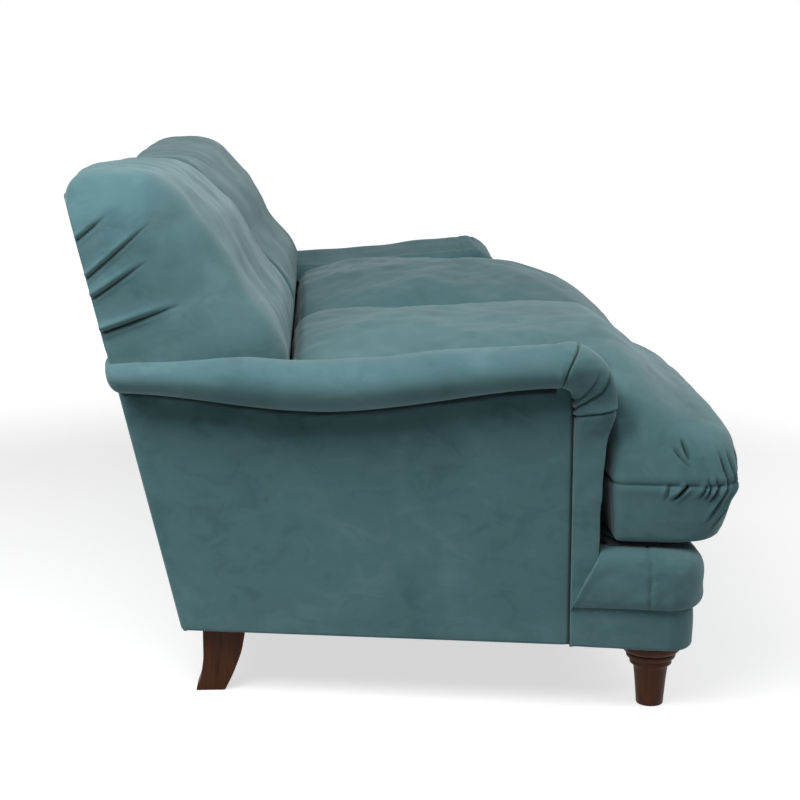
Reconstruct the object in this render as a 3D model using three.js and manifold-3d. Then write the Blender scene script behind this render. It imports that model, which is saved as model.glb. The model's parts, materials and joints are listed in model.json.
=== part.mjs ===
// English roll arm sofa with two loose seat cushions, in millimetres.
// +z is up and -y is the front. While the pieces are made, y = 0 is the rear foot of the side panels.
// The sides draw in towards the rear, and the back leans, so side pieces are made in (p, y, z), where
// p is the distance outwards from the face of the side panel, and are then splayed, or leaned and splayed.
import * as THREE from "three";
import { mergeVertices } from "three/addons/utils/BufferGeometryUtils.js";
import Module from "manifold-3d";

// Fits
const clearance = 0.3; // air between pieces that touch
const overrun = 20; // how far a cutting body reaches past what it cuts
const fillSpreadShare = 0.00002;

// Plan of the base
const sideLength = 634; // rear foot of the sides to the seam at the arm front
const frontReach = 202; // that seam to the face of the front border
const frontHalfWidth = 917; // centre line to the side panel's face at that seam
const splayShare = 0.168; // how far the sides draw in, per length towards the rear
const rakeShare = 0.237; // how far the rear face leans back, per height
const cornerRadius = 45; // front corners of the base, in plan
const coverThickness = 6; // board, wadding and velvet of the outside faces

// Heights of the base
const legHeight = 112;
const dustCoverThickness = 1.4;
const railHeight = 138;
const springWire = 4;
const clipThickness = 1.6;
const platformThickness = 18.5;

// Base frame
const railThickness = 22;
const frontRailThickness = 28;
const stretcherWidth = 40;
const stretcherHeight = 76;
const blockSide = 56;
const blockShift = 12; // how far a block lies inwards of its bolt
const blockHeight = 60;
const cornerSteps = 6;

// Legs
const frontLeg = { inset: 58, setback: 62, collar: 49, ring: 41, neck: 27, foot: 22.5, footEdge: 3 };
const frontLegSteps = { collar: 14, ring: 9, bead: 8, neck: 12 };
const rearLeg = { inset: 54, width: 45, top: 73, foot: 50, setback: 30, sweep: 14 };
const heelShares = [[1, 0], [0.5, 0], [0.2, 0.35], [0, 1]]; // of the height, of the sweep
const shinShares = { ankle: 0.25, calf: 0.6, calfReach: 0.78 };
const boltRadius = 4;
const boltDepth = 40; // in the leg
const roundSides = 20;

// Springs
const springCount = 8;
const springWaves = 14;
const springSwing = 25;
const springStraight = 26; // straight end that lies on a rail
const springSpan = 186; // between neighbouring springs
const springBendShares = [0.35, 0.65]; // where a wave's two bends lie in its pitch
const springTieShares = [0.32, 0.68]; // where the cross wires lie along the springs
const clipWidth = 20;

// Arms
const armThickness = 115; // side panel's face to the inside of the arm
const armRise = 224; // seat deck to the underside of the roll where it is lowest
const roll = {
  height: 80, // underside to crest where the arm is lowest
  frontRise: 41, // how much the underside climbs to the front
  rearRise: 25, // and to the rear
  crestRise: 29, // how much the crest climbs to the front
  lowY: 227, // lowest point, ahead of the rear foot
  crestY: 187, // where the crest starts to climb
  overhang: 32, // side panel's face to the roll's centre at the front seam
  flareShare: 0.033, // how much further out the roll lies, per length towards the rear
  rearProud: 8, // how far its rear end stands behind the rear face
  rearRound: 12,
  shoulder: 32, // inner shoulder of the arm top, across
  shoulderShare: 0.42, // and down, of the arm top's height
  crownDrop: 16, // fall of the arm top from its crest to the inner shoulder
};
const rollSteps = 9;
const rollStations = 12;
const facing = {
  depth: 49,
  headDepth: 62, // depth at the roll
  inset: 12,
  mitreRise: 3, // seat deck to the top of the mitre
  mitreLift: 7, // underside of the lip to its foot
  swell: 90, // height over which the pad thickens to the roll
  swellRise: 217, // seat deck to the height where it is thick
};
const facingStepShares = [[0, 0], [0.55, 0], [0.85, 0.25], [0.97, 0.6], [1, 1]]; // of depth, of inset
const shoulderSteps = 4;
const boardThickness = 22;
const boardWidth = 56;
const postDepth = 45;

// Front lip and border
const lipHeight = 99;
const lipBulge = 17; // how far it stands in front of the border
const lipFlange = 44; // from its nose back over the rail
const lipNose = 20; // rounding of its upper edge
const lipSeamSetback = 34; // start of the front corner to the seam on the side
const borderDrop = 3; // how far the front border hangs below the side panels
const lipUnderShares = [[0.6, 0.03], [0.12, 0.2], [0, 0.42]]; // of the bulge, of the height
const lipNoseShares = [[0.12, 1.25], [0.6, 0.45], [1.5, 0]]; // of the nose, in from it and down

// Back
const backHeight = 605; // seat deck to the top of the back
const backThickness = 294;
const backEndInset = 53; // side panel's face at the front seam to the end of a back section
const backArmGap = 1.4; // air between a section and the inside of the arm
const backStepGap = 5.5; // crest of the arm to the step that a section makes over it
const backGap = 2; // centre line to the side of a section
const backEndRound = 35;
const backValleyRound = 32;
const backSag = 28; // how much a section draws in towards its two ends
const frameBoard = 22; // thickness of the boards in the back
const backPostWidth = 30;
const centrePostWidth = 60;
const topRailHeight = 55;
const topRailInset = 64; // end of a back section to the end of the top rail
const topRailDrop = 70; // top of the back to the top rail
const lowerRailHeight = 50;
const lowerRailLift = 17; // seat deck to the lower rail
const webbingThickness = 2.3;

// Seat cushions
const cushion = {
  border: 106.7, // bottom to the seam
  crown: 213, // seam to crest
  gap: 2, // centre line to the side of a cushion
  armGap: 3, // side of a cushion to the inside of the arm
  earGap: 2, // how far the ear lies inside the side panel's plane
  overhang: 76, // front of the border to the front of the cushion
  rearY: 187,
  facingGap: 2, // front of the arm to the rear side of the ear
  bow: 12, // swell of the front in plan
  frontRound: 85,
  cornerRound: 38,
  leastRoundShare: 0.25, // of each rounding, where the lower edge draws in
  bottomInset: 16,
  bottomFrontInset: 70,
  reach: 32, // how far past its edges the crown would run out
  earReach: 48,
  noseRun: 335, // front to where the crown starts to fall
  nose: 340, // and on to where it would run out
  rearRun: 300, // rear fall of the crown
  rearStart: 290, // and where it starts, ahead of the rear
  rearFall: 36,
  blendLead: 88, // rear side of the ear to where the crown starts to widen
  blend: 110,
};
const crestShares = { crown: 0.499, middle: 0.536 }; // of the centre line to the inside of the arm
const centreSetback = 142; // front to the middle that the crown's rings draw in to
const crownPower = 2.6;
const nosePower = 2.2;
const fallPower = 2.5;
const edgePower = 22;
const wallShares = [[1, 0], [0.58, 0.16], [0.22, 0.45], [0, 0.76], [0, 1]]; // of the inset, of the border
const domeShares = [0.985, 0.955, 0.9, 0.82, 0.71, 0.58, 0.43, 0.27, 0.1]; // of the outline, to its middle

// Zips on the rear borders of the cushions
const zip = { startInset: 93, endInset: 29, height: 20, thickness: 1.6, lift: 62 };
const slider = { width: 12, height: 10, depth: 4, tab: 22, tabWidth: 6, tabThickness: 1.5 };

// Heights, depths and widths that follow
const baseDepth = sideLength + frontReach;
const railBottom = legHeight + dustCoverThickness + 2 * clearance;
const railTop = railBottom + railHeight;
const clipBottom = railTop + springWire + 2 * clearance;
const platformBottom = clipBottom + clipThickness + clearance;
const deck = platformBottom + platformThickness;
const backTop = deck + backHeight;
const backStep = deck + armRise + roll.height + backStepGap;
const lipBottom = deck - lipHeight;
const mitreTop = deck + facing.mitreRise;
const mitreFoot = lipBottom + facing.mitreLift;
const swellTop = deck + facing.swellRise;
const boardFace = coverThickness + clearance; // outside face of the frame, inside the covers
const frameDepth = boardFace + frameBoard; // front of the back frame, ahead of the rear face
const padDepth = frameDepth + 2 * clearance + webbingThickness;
const frontRailFront = baseDepth - boardFace;
const frontRailBack = frontRailFront - frontRailThickness;
const cornerX = sideX(0, -baseDepth + cornerRadius) - cornerRadius;
const cornerY = -baseDepth + cornerRadius;
const backEnd = frontHalfWidth - backEndInset;
const backLowerHalf = sideX(-armThickness, -cushion.rearY + cushion.armGap) - backArmGap;
const topRailHalf = backEnd - topRailInset;
const cushionFrontY = baseDepth + cushion.overhang;
const earY = sideLength + facing.headDepth + cushion.facingGap;
const crestX = crestShares.crown * (frontHalfWidth - armThickness);
const centreX = crestShares.middle * (frontHalfWidth - armThickness);
const centreY = cushionFrontY - centreSetback;
const topRailTop = backTop - topRailDrop;
const topRailBottom = topRailTop - topRailHeight;

const wasm = await Module();
wasm.setup();

const velvet = new THREE.MeshStandardMaterial({ color: 0x5b868b, roughness: 0.85, metalness: 0 });
const darkWood = new THREE.MeshStandardMaterial({ color: 0x3a2318, roughness: 0.45, metalness: 0 });
const beech = new THREE.MeshStandardMaterial({ color: 0xc9a878, roughness: 0.7, metalness: 0 });
const steel = new THREE.MeshStandardMaterial({ color: 0x8d9093, roughness: 0.35, metalness: 1 });
const calico = new THREE.MeshStandardMaterial({ color: 0xd9cfba, roughness: 0.95, metalness: 0 });
const cambric = new THREE.MeshStandardMaterial({ color: 0x1d1d1f, roughness: 0.95, metalness: 0 });

const sofa = new THREE.Group();
const sides = [{ word: "left", sign: -1 }, { word: "right", sign: 1 }];

function add(name, geometry, material, x = 0, y = 0, z = 0) {
  const mesh = new THREE.Mesh(geometry, material);
  mesh.name = name;
  mesh.position.set(x, y, z);
  sofa.add(mesh);
}

// Distance of a side piece from the centre line
function sideX(p, y) {
  return frontHalfWidth + p - splayShare * (sideLength + y);
}

// The leaning plane of the rear face
function rearFace(z) {
  return rakeShare * (z - legHeight);
}

function clampShare(value) {
  return Math.min(1, Math.max(0, value));
}

// Eases from 0 to 1
function smooth(value) {
  const t = clampShare(value);
  return t * t * (3 - 2 * t);
}

// Shared vertices merged, so that only positions and an index are left
function weld(geometry) {
  const bare = geometry.clone();
  bare.deleteAttribute("normal");
  bare.deleteAttribute("uv");
  return mergeVertices(bare);
}

function flip(geometry) {
  const index = geometry.index.array;
  for (let i = 0; i < index.length; i += 3) [index[i + 1], index[i + 2]] = [index[i + 2], index[i + 1]];
  return geometry;
}

// A copy of the geometry with each vertex moved by rule(vertex)
function bend(geometry, rule) {
  const bent = weld(geometry);
  const position = bent.attributes.position;
  const vertex = new THREE.Vector3();
  for (let i = 0; i < position.count; i += 1) {
    rule(vertex.fromBufferAttribute(position, i));
    position.setXYZ(i, vertex.x, vertex.y, vertex.z);
  }
  return bent;
}

function lean(geometry) {
  return bend(geometry, (vertex) => {
    vertex.y += rearFace(vertex.z);
  });
}

// From (p, y, z) to the left or right side of the sofa
function splay(geometry, sign) {
  const placed = bend(geometry, (vertex) => {
    vertex.x = sign * sideX(vertex.x, vertex.y);
  });
  return sign < 0 ? flip(placed) : placed;
}

function mirror(geometry, sign) {
  const placed = bend(geometry, (vertex) => {
    vertex.x *= sign;
  });
  return sign < 0 ? flip(placed) : placed;
}

function toSolid(geometry) {
  const welded = weld(geometry);
  const vertProperties = Float32Array.from(welded.attributes.position.array);
  const triVerts = Uint32Array.from(welded.index.array);
  return new wasm.Manifold(new wasm.Mesh({ numProp: 3, vertProperties, triVerts }));
}

function toGeometry(solid) {
  const { vertProperties, triVerts } = solid.getMesh();
  const geometry = new THREE.BufferGeometry();
  geometry.setAttribute("position", new THREE.BufferAttribute(vertProperties, 3));
  geometry.setIndex(new THREE.BufferAttribute(triVerts, 1));
  return geometry;
}

function cut(geometry, ...cutters) {
  const solid = cutters.reduce((rest, cutter) => rest.subtract(toSolid(cutter)), toSolid(geometry));
  return toGeometry(solid);
}

function box(x0, x1, y0, y1, z0, z1) {
  const geometry = new THREE.BoxGeometry(x1 - x0, y1 - y0, z1 - z0);
  return geometry.translate((x0 + x1) / 2, (y0 + y1) / 2, (z0 + z1) / 2);
}

function prism(points, depth, holes = []) {
  const shape = new THREE.Shape(points);
  shape.holes = holes;
  return new THREE.ExtrudeGeometry(shape, { depth, bevelEnabled: false });
}

// An outline in (y, z) carried from x0 to x1
function slab(points, x0, x1) {
  const flat = prism(points.map(([y, z]) => new THREE.Vector2(y, z)), x1 - x0);
  return bend(flat, (vertex) => vertex.set(vertex.z + x0, vertex.x, vertex.y));
}

// An outline in plan carried from z0 to z1
function plate(points, z0, z1, holes = []) {
  return prism(points, z1 - z0, holes).translate(0, 0, z0);
}

// The axis that a flat ring faces most nearly
function ringNormalAxis(ring) {
  const normal = new THREE.Vector3();
  ring.forEach((point, i) => {
    const next = ring[(i + 1) % ring.length];
    normal.add(point.clone().sub(ring[0]).cross(next.clone().sub(ring[0])));
  });
  const axes = ["x", "y", "z"];
  return axes.reduce((most, axis) => (Math.abs(normal[axis]) > Math.abs(normal[most]) ? axis : most));
}

// Triangles that fill a flat ring, running the same way round as the ring. For the triangulation alone the
// points are spread a little, so that points in one line keep their own corners.
function fillRing(ring, first) {
  const [u, v] = ["x", "y", "z"].filter((axis) => axis !== ringNormalAxis(ring));
  const middle = ring.reduce((sum, point) => sum.add(point), new THREE.Vector3()).divideScalar(ring.length);
  const contour = ring.map((point, i) => {
    const spread = 1 + fillSpreadShare * Math.sin(i * i);
    return new THREE.Vector2((point[u] - middle[u]) * spread, (point[v] - middle[v]) * spread);
  });
  const faces = THREE.ShapeUtils.triangulateShape(contour, []);
  const filled = faces.reduce((sum, face) => sum + THREE.ShapeUtils.area(face.map((i) => contour[i])), 0);
  const same = Math.sign(filled) === Math.sign(THREE.ShapeUtils.area(contour));
  return faces.flatMap((face) => {
    const [a, b, c] = face.map((i) => first + i);
    return same ? [a, b, c] : [a, c, b];
  });
}

function signedVolume(points, index) {
  let sum = 0;
  for (let i = 0; i < index.length; i += 3) {
    const [a, b, c] = [points[index[i]], points[index[i + 1]], points[index[i + 2]]];
    sum += a.dot(b.clone().cross(c));
  }
  return sum;
}

// A closed skin over rings that have the same number of points
function loft(rings) {
  const count = rings[0].length;
  const points = rings.flat();
  const index = [];
  for (let ring = 0; ring + 1 < rings.length; ring += 1) {
    for (let i = 0; i < count; i += 1) {
      const a = ring * count + i;
      const b = ring * count + ((i + 1) % count);
      index.push(a, b, b + count, a, b + count, a + count);
    }
  }
  const start = fillRing(rings[0], 0);
  for (let i = 0; i < start.length; i += 3) index.push(start[i], start[i + 2], start[i + 1]);
  index.push(...fillRing(rings.at(-1), (rings.length - 1) * count));
  const geometry = new THREE.BufferGeometry().setFromPoints(points);
  geometry.setIndex(index);
  return signedVolume(points, index) < 0 ? flip(geometry) : geometry;
}

function lerpRing(from, to, share) {
  return from.map((point, i) => point.clone().lerp(to[i], share));
}

// A plan or side outline drawn in by a distance, along the mean of the two edge normals at each point
function insetOutline(points, distance) {
  const turn = Math.sign(THREE.ShapeUtils.area(points));
  const inward = points.map((point, i) => {
    const next = points[(i + 1) % points.length].clone().sub(point).normalize();
    return new THREE.Vector2(-next.y, next.x).multiplyScalar(turn);
  });
  return points.map((point, i) => {
    const before = inward[(i + points.length - 1) % points.length];
    const mean = before.clone().add(inward[i]);
    const stretch = 2 / Math.max(mean.lengthSq(), 1);
    return point.clone().addScaledVector(mean, distance * stretch);
  });
}

function arc(cx, cy, rx, ry, fromShare, toShare, steps) {
  return Array.from({ length: steps + 1 }, (_, i) => {
    const angle = 2 * Math.PI * (fromShare + ((toShare - fromShare) * i) / steps);
    return new THREE.Vector2(cx + rx * Math.cos(angle), cy + ry * Math.sin(angle));
  });
}

function circleHole(x, y, radius) {
  return new THREE.Path().absarc(x, y, radius, 0, 2 * Math.PI);
}

// Underside and crest of the arm roll along its length
function rollUnderside(y) {
  const ahead = -roll.lowY - y;
  const frontSpan = sideLength - roll.lowY;
  const rearSpan = roll.lowY + rearFace(deck + armRise);
  const climb = roll.frontRise * smooth(ahead / frontSpan) + roll.rearRise * smooth(-ahead / rearSpan);
  return deck + armRise + climb;
}

// The pieces under the roll follow it in straight steps between the same places
const rollRearY = rearFace(deck + armRise) + roll.rearProud;
const rollPlaces = Array.from({ length: rollStations + 1 }, (_, i) => {
  return -sideLength + (i * (rollRearY - roll.rearRound + sideLength)) / rollStations;
});

function underRoll(y) {
  const next = Math.max(1, Math.min(rollStations, rollPlaces.findIndex((place) => place >= y)));
  const [y0, y1] = [rollPlaces[next - 1], rollPlaces[next]];
  const share = (y - y0) / (y1 - y0);
  return rollUnderside(y0) + (rollUnderside(y1) - rollUnderside(y0)) * share;
}

// Outline points under the roll from one place to another, lower by a drop
function underRollPoints(from, to, drop) {
  const between = rollPlaces.filter((place) => place > from && place < to);
  return [from, ...between, to].map((y) => [y, underRoll(y) - drop]);
}

function rollCrest(y) {
  const climb = smooth((-roll.crestY - y) / (sideLength - roll.crestY));
  return deck + armRise + roll.height + roll.crestRise * climb;
}

// Section across the arm top in (p, z): inner side, crown, roll and underside
function rollOutline(y) {
  const under = rollUnderside(y);
  const crest = rollCrest(y);
  const radius = (crest - under) / 2;
  const centre = roll.overhang + roll.flareShare * (sideLength + y);
  const shoulderTop = crest - roll.crownDrop;
  const shoulderX = roll.shoulder - armThickness;
  const shoulderDrop = roll.shoulderShare * (crest - under);
  return [
    new THREE.Vector2(-armThickness, under),
    ...arc(shoulderX, shoulderTop - shoulderDrop, roll.shoulder, shoulderDrop, 0.5, 0.25, shoulderSteps),
    ...arc(centre, crest - radius, radius, radius, 0.25, -0.25, rollSteps),
    new THREE.Vector2(0, under),
  ];
}

// Arms

function armRoll(sign) {
  const rearY = rollRearY;
  const station = (y, inset) => {
    const outline = rollOutline(y);
    const under = outline[0].y;
    const leanBlend = smooth((y + roll.lowY) / (rearY + roll.lowY));
    return insetOutline(outline, inset).map((point) => {
      const leaned = y + leanBlend * rakeShare * (point.y - under);
      return new THREE.Vector3(point.x, leaned, point.y);
    });
  };
  const rings = rollPlaces.map((place) => station(place, 0));
  rings.push(station(rearY - roll.rearRound / 2, roll.rearRound / 5));
  rings.push(station(rearY - roll.rearRound / 10, roll.rearRound / 2));
  rings.push(station(rearY, roll.rearRound));
  const rearBay = box(
    -armThickness - overrun,
    -boardFace - railThickness,
    -cushion.rearY + 2 * cushion.armGap,
    rearY + 2 * overrun,
    deck,
    backTop,
  );
  return splay(cut(loft(rings), rearBay), sign);
}

function armFacing(sign) {
  const head = rollOutline(-sideLength);
  const levels = [swellTop, swellTop - facing.swell, mitreTop];
  const outline = [
    new THREE.Vector2(-armThickness, mitreFoot),
    ...head.slice(1),
    ...levels.map((z) => new THREE.Vector2(0, z)),
    new THREE.Vector2(0, mitreFoot),
  ];
  const depthAt = (z) => {
    const swell = smooth((z - swellTop + facing.swell) / facing.swell);
    return facing.depth + (facing.headDepth - facing.depth) * swell;
  };
  const rings = facingStepShares.map(([depthShare, insetShare]) => {
    const drawn = insetOutline(outline, facing.inset * insetShare);
    return drawn.map((point, i) => {
      const depth = depthAt(outline[i].y) * depthShare;
      return new THREE.Vector3(point.x, -sideLength - clearance - depth, point.y);
    });
  });
  const inside = box(
    -armThickness - overrun,
    -coverThickness,
    -sideLength - 2 * facing.headDepth,
    -sideLength + overrun,
    legHeight,
    deck + clearance,
  );
  const below = [
    [-sideLength, mitreFoot],
    [-sideLength - 2 * facing.depth, mitreFoot + 2 * (mitreTop - mitreFoot)],
    [-sideLength - 2 * facing.depth, legHeight],
    [-sideLength + overrun, legHeight],
    [-sideLength + overrun, mitreFoot],
  ];
  const mitre = slab(below, -armThickness - overrun, overrun);
  return splay(cut(loft(rings), inside, mitre), sign);
}

function outsideArm(sign) {
  const rear = rearFace(deck + armRise);
  const top = underRollPoints(-sideLength, rear, clearance).reverse();
  const outline = [[-sideLength, legHeight], [rearFace(legHeight), legHeight], ...top];
  return splay(slab(outline, -coverThickness, 0), sign);
}

function armBoard(sign) {
  const rear = rearFace(deck + armRise) - frameDepth - clearance;
  const lower = underRollPoints(-sideLength, rear, boardThickness + clearance);
  const upper = underRollPoints(-sideLength, rear, clearance).reverse();
  return splay(slab([...lower, ...upper], -boardFace - boardWidth, -boardFace), sign);
}

function armPost(sign) {
  const front = -sideLength + clearance;
  const rear = front + postDepth;
  const drop = boardThickness + 2 * clearance;
  const top = underRollPoints(front, rear, drop).reverse();
  const outline = [[front, railTop + clearance], [rear, railTop + clearance], ...top];
  return splay(slab(outline, -boardFace - boardWidth, -boardFace), sign);
}

function innerArm(sign) {
  const rear = -cushion.rearY + cushion.armGap;
  const top = underRollPoints(-sideLength, rear, clearance).reverse();
  const outline = [[-sideLength, deck + clearance], [rear, deck + clearance], ...top];
  return splay(slab(outline, -armThickness, -boardFace - boardWidth - clearance), sign);
}

// Base frame

function sideRail(sign) {
  const outline = [
    [cornerY + clearance, railBottom],
    [rearFace(railBottom) - boardFace, railBottom],
    [rearFace(railTop) - boardFace, railTop],
    [cornerY + clearance, railTop],
  ];
  return splay(slab(outline, -boardFace - railThickness, -boardFace), sign);
}

function cornerPost(sign) {
  const outer = cornerRadius - boardFace;
  const outline = [
    new THREE.Vector2(clearance, 0),
    new THREE.Vector2(clearance, -outer),
    ...arc(0, 0, outer, outer, -0.25, 0, cornerSteps).slice(1),
  ];
  const geometry = plate(outline, railBottom, railTop).translate(cornerX, cornerY, 0);
  return mirror(geometry, sign);
}

function frontRail() {
  return box(-cornerX, cornerX, -frontRailFront, -frontRailBack, railBottom, railTop);
}

function rearRail() {
  const front = -frameDepth - clearance - railThickness;
  const half = sideX(-boardFace - railThickness - clearance, rearFace(railTop) - frameDepth);
  return lean(box(-half, half, front, -frameDepth - clearance, railBottom, railTop));
}

function stretcher() {
  const rear = rearFace(railBottom) - frameDepth - railThickness - 2 * clearance;
  const half = stretcherWidth / 2;
  return box(-half, half, -frontRailBack + clearance, rear, railBottom, railBottom + stretcherHeight);
}

// Back frame: boards that lean with the rear face

function backPost(sign) {
  const inner = -boardFace - railThickness - clearance - backPostWidth;
  const outer = inner + backPostWidth;
  const geometry = box(inner, outer, -frameDepth, -boardFace, railBottom, topRailBottom - clearance);
  return splay(lean(geometry), sign);
}

function centrePost() {
  const half = centrePostWidth / 2;
  return lean(box(-half, half, -frameDepth, -boardFace, railBottom, topRailBottom - clearance));
}

function backPostInner(z) {
  return sideX(-boardFace - railThickness - 2 * clearance - backPostWidth, rearFace(z) - boardFace);
}

function lowerRail(sign) {
  const bottom = deck + lowerRailLift;
  const top = bottom + lowerRailHeight;
  const inner = centrePostWidth / 2 + clearance;
  return mirror(lean(box(inner, backPostInner(top), -frameDepth, -boardFace, bottom, top)), sign);
}

function topRail() {
  return lean(box(-topRailHalf, topRailHalf, -frameDepth, -boardFace, topRailBottom, topRailTop));
}

function backWebbing(sign) {
  const front = -frameDepth - clearance - webbingThickness;
  const bottom = deck + lowerRailLift;
  const inner = centrePostWidth / 4;
  const outer = sideX(-boardFace - railThickness - clearance - (2 * backPostWidth) / 3, rearFace(topRailTop));
  const top = topRailTop - topRailHeight / 2;
  return mirror(lean(box(inner, outer, front, -frameDepth - clearance, bottom, top)), sign);
}

// Legs and what holds them

const frontLegX = sideX(-frontLeg.inset, -baseDepth + frontLeg.setback);
const frontLegY = -baseDepth + frontLeg.setback;
const rearLegX = sideX(-rearLeg.inset, -rearLeg.setback - rearLeg.top / 2);
const rearLegY = -rearLeg.setback - rearLeg.top / 2 - 2 * clearance;
const boltHole = boltRadius + clearance;

function turnedLeg() {
  const { collar, ring, neck, foot, footEdge } = frontLeg;
  const steps = frontLegSteps;
  const shoulder = legHeight - steps.collar;
  const ringFoot = shoulder - steps.ring;
  const beadFoot = ringFoot - steps.bead;
  const neckFoot = beadFoot - steps.neck;
  const profile = [
    [0, legHeight - boltDepth],
    [boltHole, legHeight - boltDepth],
    [boltHole, legHeight],
    [collar, legHeight],
    [collar, shoulder + footEdge],
    [collar - footEdge, shoulder],
    [ring, shoulder],
    [ring, ringFoot + footEdge],
    [ring - footEdge, ringFoot],
    [(ring + neck) / 2, ringFoot],
    [(ring + neck) / 2, beadFoot + footEdge],
    [neck, beadFoot],
    [neck + footEdge / 2, neckFoot],
    [foot, footEdge],
    [foot - footEdge, 0],
    [0, 0],
  ].map(([r, z]) => new THREE.Vector2(r, z));
  return bend(new THREE.LatheGeometry(profile.reverse(), roundSides), (vertex) => {
    vertex.set(vertex.x, -vertex.z, vertex.y);
  });
}

// A square leg that sweeps back to its foot
function sabreLeg() {
  const half = rearLeg.top / 2;
  const { foot, sweep, width } = rearLeg;
  const rear = heelShares.map(([upShare, outShare]) => [half + sweep * outShare, legHeight * upShare]);
  const front = [
    [half + sweep - foot, 0],
    [half - foot, legHeight * shinShares.ankle],
    [-half * shinShares.calfReach, legHeight * shinShares.calf],
    [-half, legHeight],
  ];
  const leg = slab([...rear, ...front], -width / 2, width / 2);
  const bore = new THREE.CylinderGeometry(boltHole, boltHole, boltDepth + overrun, roundSides);
  bore.rotateX(Math.PI / 2).translate(0, 0, legHeight + (overrun - boltDepth) / 2);
  return cut(leg, bore);
}

// A block in the corner of the frame; the bolt lies nearer its outer corner, at the front or at the rear
function legBlock(sign, towards) {
  const inner = -blockSide / 2 - blockShift;
  const outer = inner + blockSide;
  const near = inner * towards;
  const far = outer * towards;
  const corners = [[inner, near], [outer, near], [outer, far], [inner, far]];
  const outline = corners.map(([x, y]) => new THREE.Vector2(x, y));
  return mirror(plate(outline, railBottom, railBottom + blockHeight, [circleHole(0, 0, boltHole)]), sign);
}

function hangerBolt() {
  const bottom = legHeight - boltDepth + clearance;
  const length = railBottom + blockHeight - bottom;
  const bolt = new THREE.CylinderGeometry(boltRadius, boltRadius, length, roundSides);
  return weld(bolt).rotateX(Math.PI / 2).translate(0, 0, bottom + length / 2);
}

function dustCover() {
  const right = [
    [sideX(-boardFace, -boardFace), -boardFace],
    [sideX(-boardFace - clearance, cornerY), cornerY],
    [cornerX, -frontRailFront],
  ];
  const left = right.map(([x, y]) => [-x, y]).reverse();
  const holes = sides.flatMap(({ sign }) => [
    circleHole(sign * frontLegX, frontLegY, boltHole),
    circleHole(sign * rearLegX, rearLegY, boltHole),
  ]);
  const outline = [...right, ...left].map(([x, y]) => new THREE.Vector2(x, y));
  return plate(outline, legHeight + clearance, legHeight + clearance + dustCoverThickness, holes);
}

// Springs, clips and platform

const springFront = -frontRailFront + clearance;
const springRear = rearFace(railTop) - frameDepth - 2 * clearance;
const springLevel = railTop + clearance + springWire / 2;

function seatSpring() {
  const first = springFront + springStraight;
  const last = springRear - springStraight;
  const pitch = (last - first) / springWaves;
  const points = [[0, springFront], [0, first]];
  for (let i = 0; i < springWaves; i += 1) {
    const swing = i % 2 === 0 ? springSwing : -springSwing;
    points.push(...springBendShares.map((share) => [swing, first + (i + share) * pitch]));
  }
  points.push([0, last], [0, springRear]);
  const corners = points.map(([x, y]) => new THREE.Vector3(x, y, springLevel));
  const half = springWire / 2;
  const up = new THREE.Vector3(0, 0, half);
  const rings = corners.map((corner, i) => {
    const before = corners[Math.max(i - 1, 0)];
    const after = corners[Math.min(i + 1, corners.length - 1)];
    const along = after.clone().sub(before).normalize();
    const side = new THREE.Vector3(along.y, -along.x, 0).multiplyScalar(half);
    return [side, up, side.clone().negate(), up.clone().negate()].map((step) => corner.clone().add(step));
  });
  return loft(rings);
}

// The springs of one half, held at their distance by two cross wires
function springSet(sign) {
  const places = Array.from({ length: springCount / 2 }, (_, i) => (i + 0.5) * springSpan);
  const half = springWire / 2;
  const wires = springTieShares.map((share) => {
    const y = springFront + (springRear - springFront) * share;
    return box(places[0], places.at(-1), y - half, y + half, springLevel - half / 2, springLevel + half / 2);
  });
  const springs = places.map((x) => seatSpring().translate(x, 0, 0));
  const solids = [...springs, ...wires].map(toSolid);
  return mirror(toGeometry(solids.reduce((all, solid) => all.add(solid))), sign);
}

function clipStrip(front) {
  const half = (springSpan * (springCount - 1)) / 2 + clipWidth;
  return box(-half, half, front, front + clipWidth, clipBottom, clipBottom + clipThickness);
}

function platform() {
  const front = -baseDepth - lipBulge + lipFlange + clearance;
  const rear = rearFace(platformBottom) - frameDepth - clearance;
  const facingFront = -sideLength - facing.headDepth;
  const flangeEdge = lipBulge - lipFlange - clearance;
  const right = [
    [sideX(-boardFace - boardWidth - clearance, rear), rear],
    [sideX(-boardFace - boardWidth - clearance, facingFront), facingFront],
    [sideX(flangeEdge, facingFront), facingFront],
    [sideX(flangeEdge, cornerY), cornerY],
    [cornerX, front],
  ];
  const left = right.map(([x, y]) => [-x, y]).reverse();
  const outline = [...right, ...left].map(([x, y]) => new THREE.Vector2(x, y));
  return plate(outline, platformBottom, deck);
}

// Front lip and border, which follow the front of the base round its corners

function frontPath(offset, start) {
  const radius = cornerRadius + offset;
  const corner = arc(0, 0, radius, radius, 0, -0.25, cornerSteps);
  const right = corner.map((point) => new THREE.Vector2(cornerX + point.x, cornerY + point.y));
  right.unshift(new THREE.Vector2(sideX(offset, start), start));
  const left = right.map((point) => new THREE.Vector2(-point.x, point.y)).reverse();
  return [...right, ...left];
}

// Lip section as [distance in from the nose, height]
function lipSection() {
  const shell = lipBulge + boardFace - clearance;
  return [
    [shell, platformBottom],
    [shell, lipBottom + clearance],
    [lipBulge, lipBottom],
    ...lipUnderShares.map(([inShare, upShare]) => [lipBulge * inShare, lipBottom + lipHeight * upShare]),
    ...lipNoseShares.map(([inShare, downShare]) => [lipNose * inShare, deck - lipNose * downShare]),
    [lipFlange, deck],
    [lipFlange, platformBottom],
  ];
}

const lipSeam = cornerY + lipSeamSetback;

function frontLip() {
  const section = lipSection();
  const paths = section.map(([depth]) => frontPath(lipBulge - depth, lipSeam));
  const rings = paths[0].map((_, station) =>
    section.map(([, z], i) => new THREE.Vector3(paths[i][station].x, paths[i][station].y, z)),
  );
  return loft(rings);
}

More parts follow.
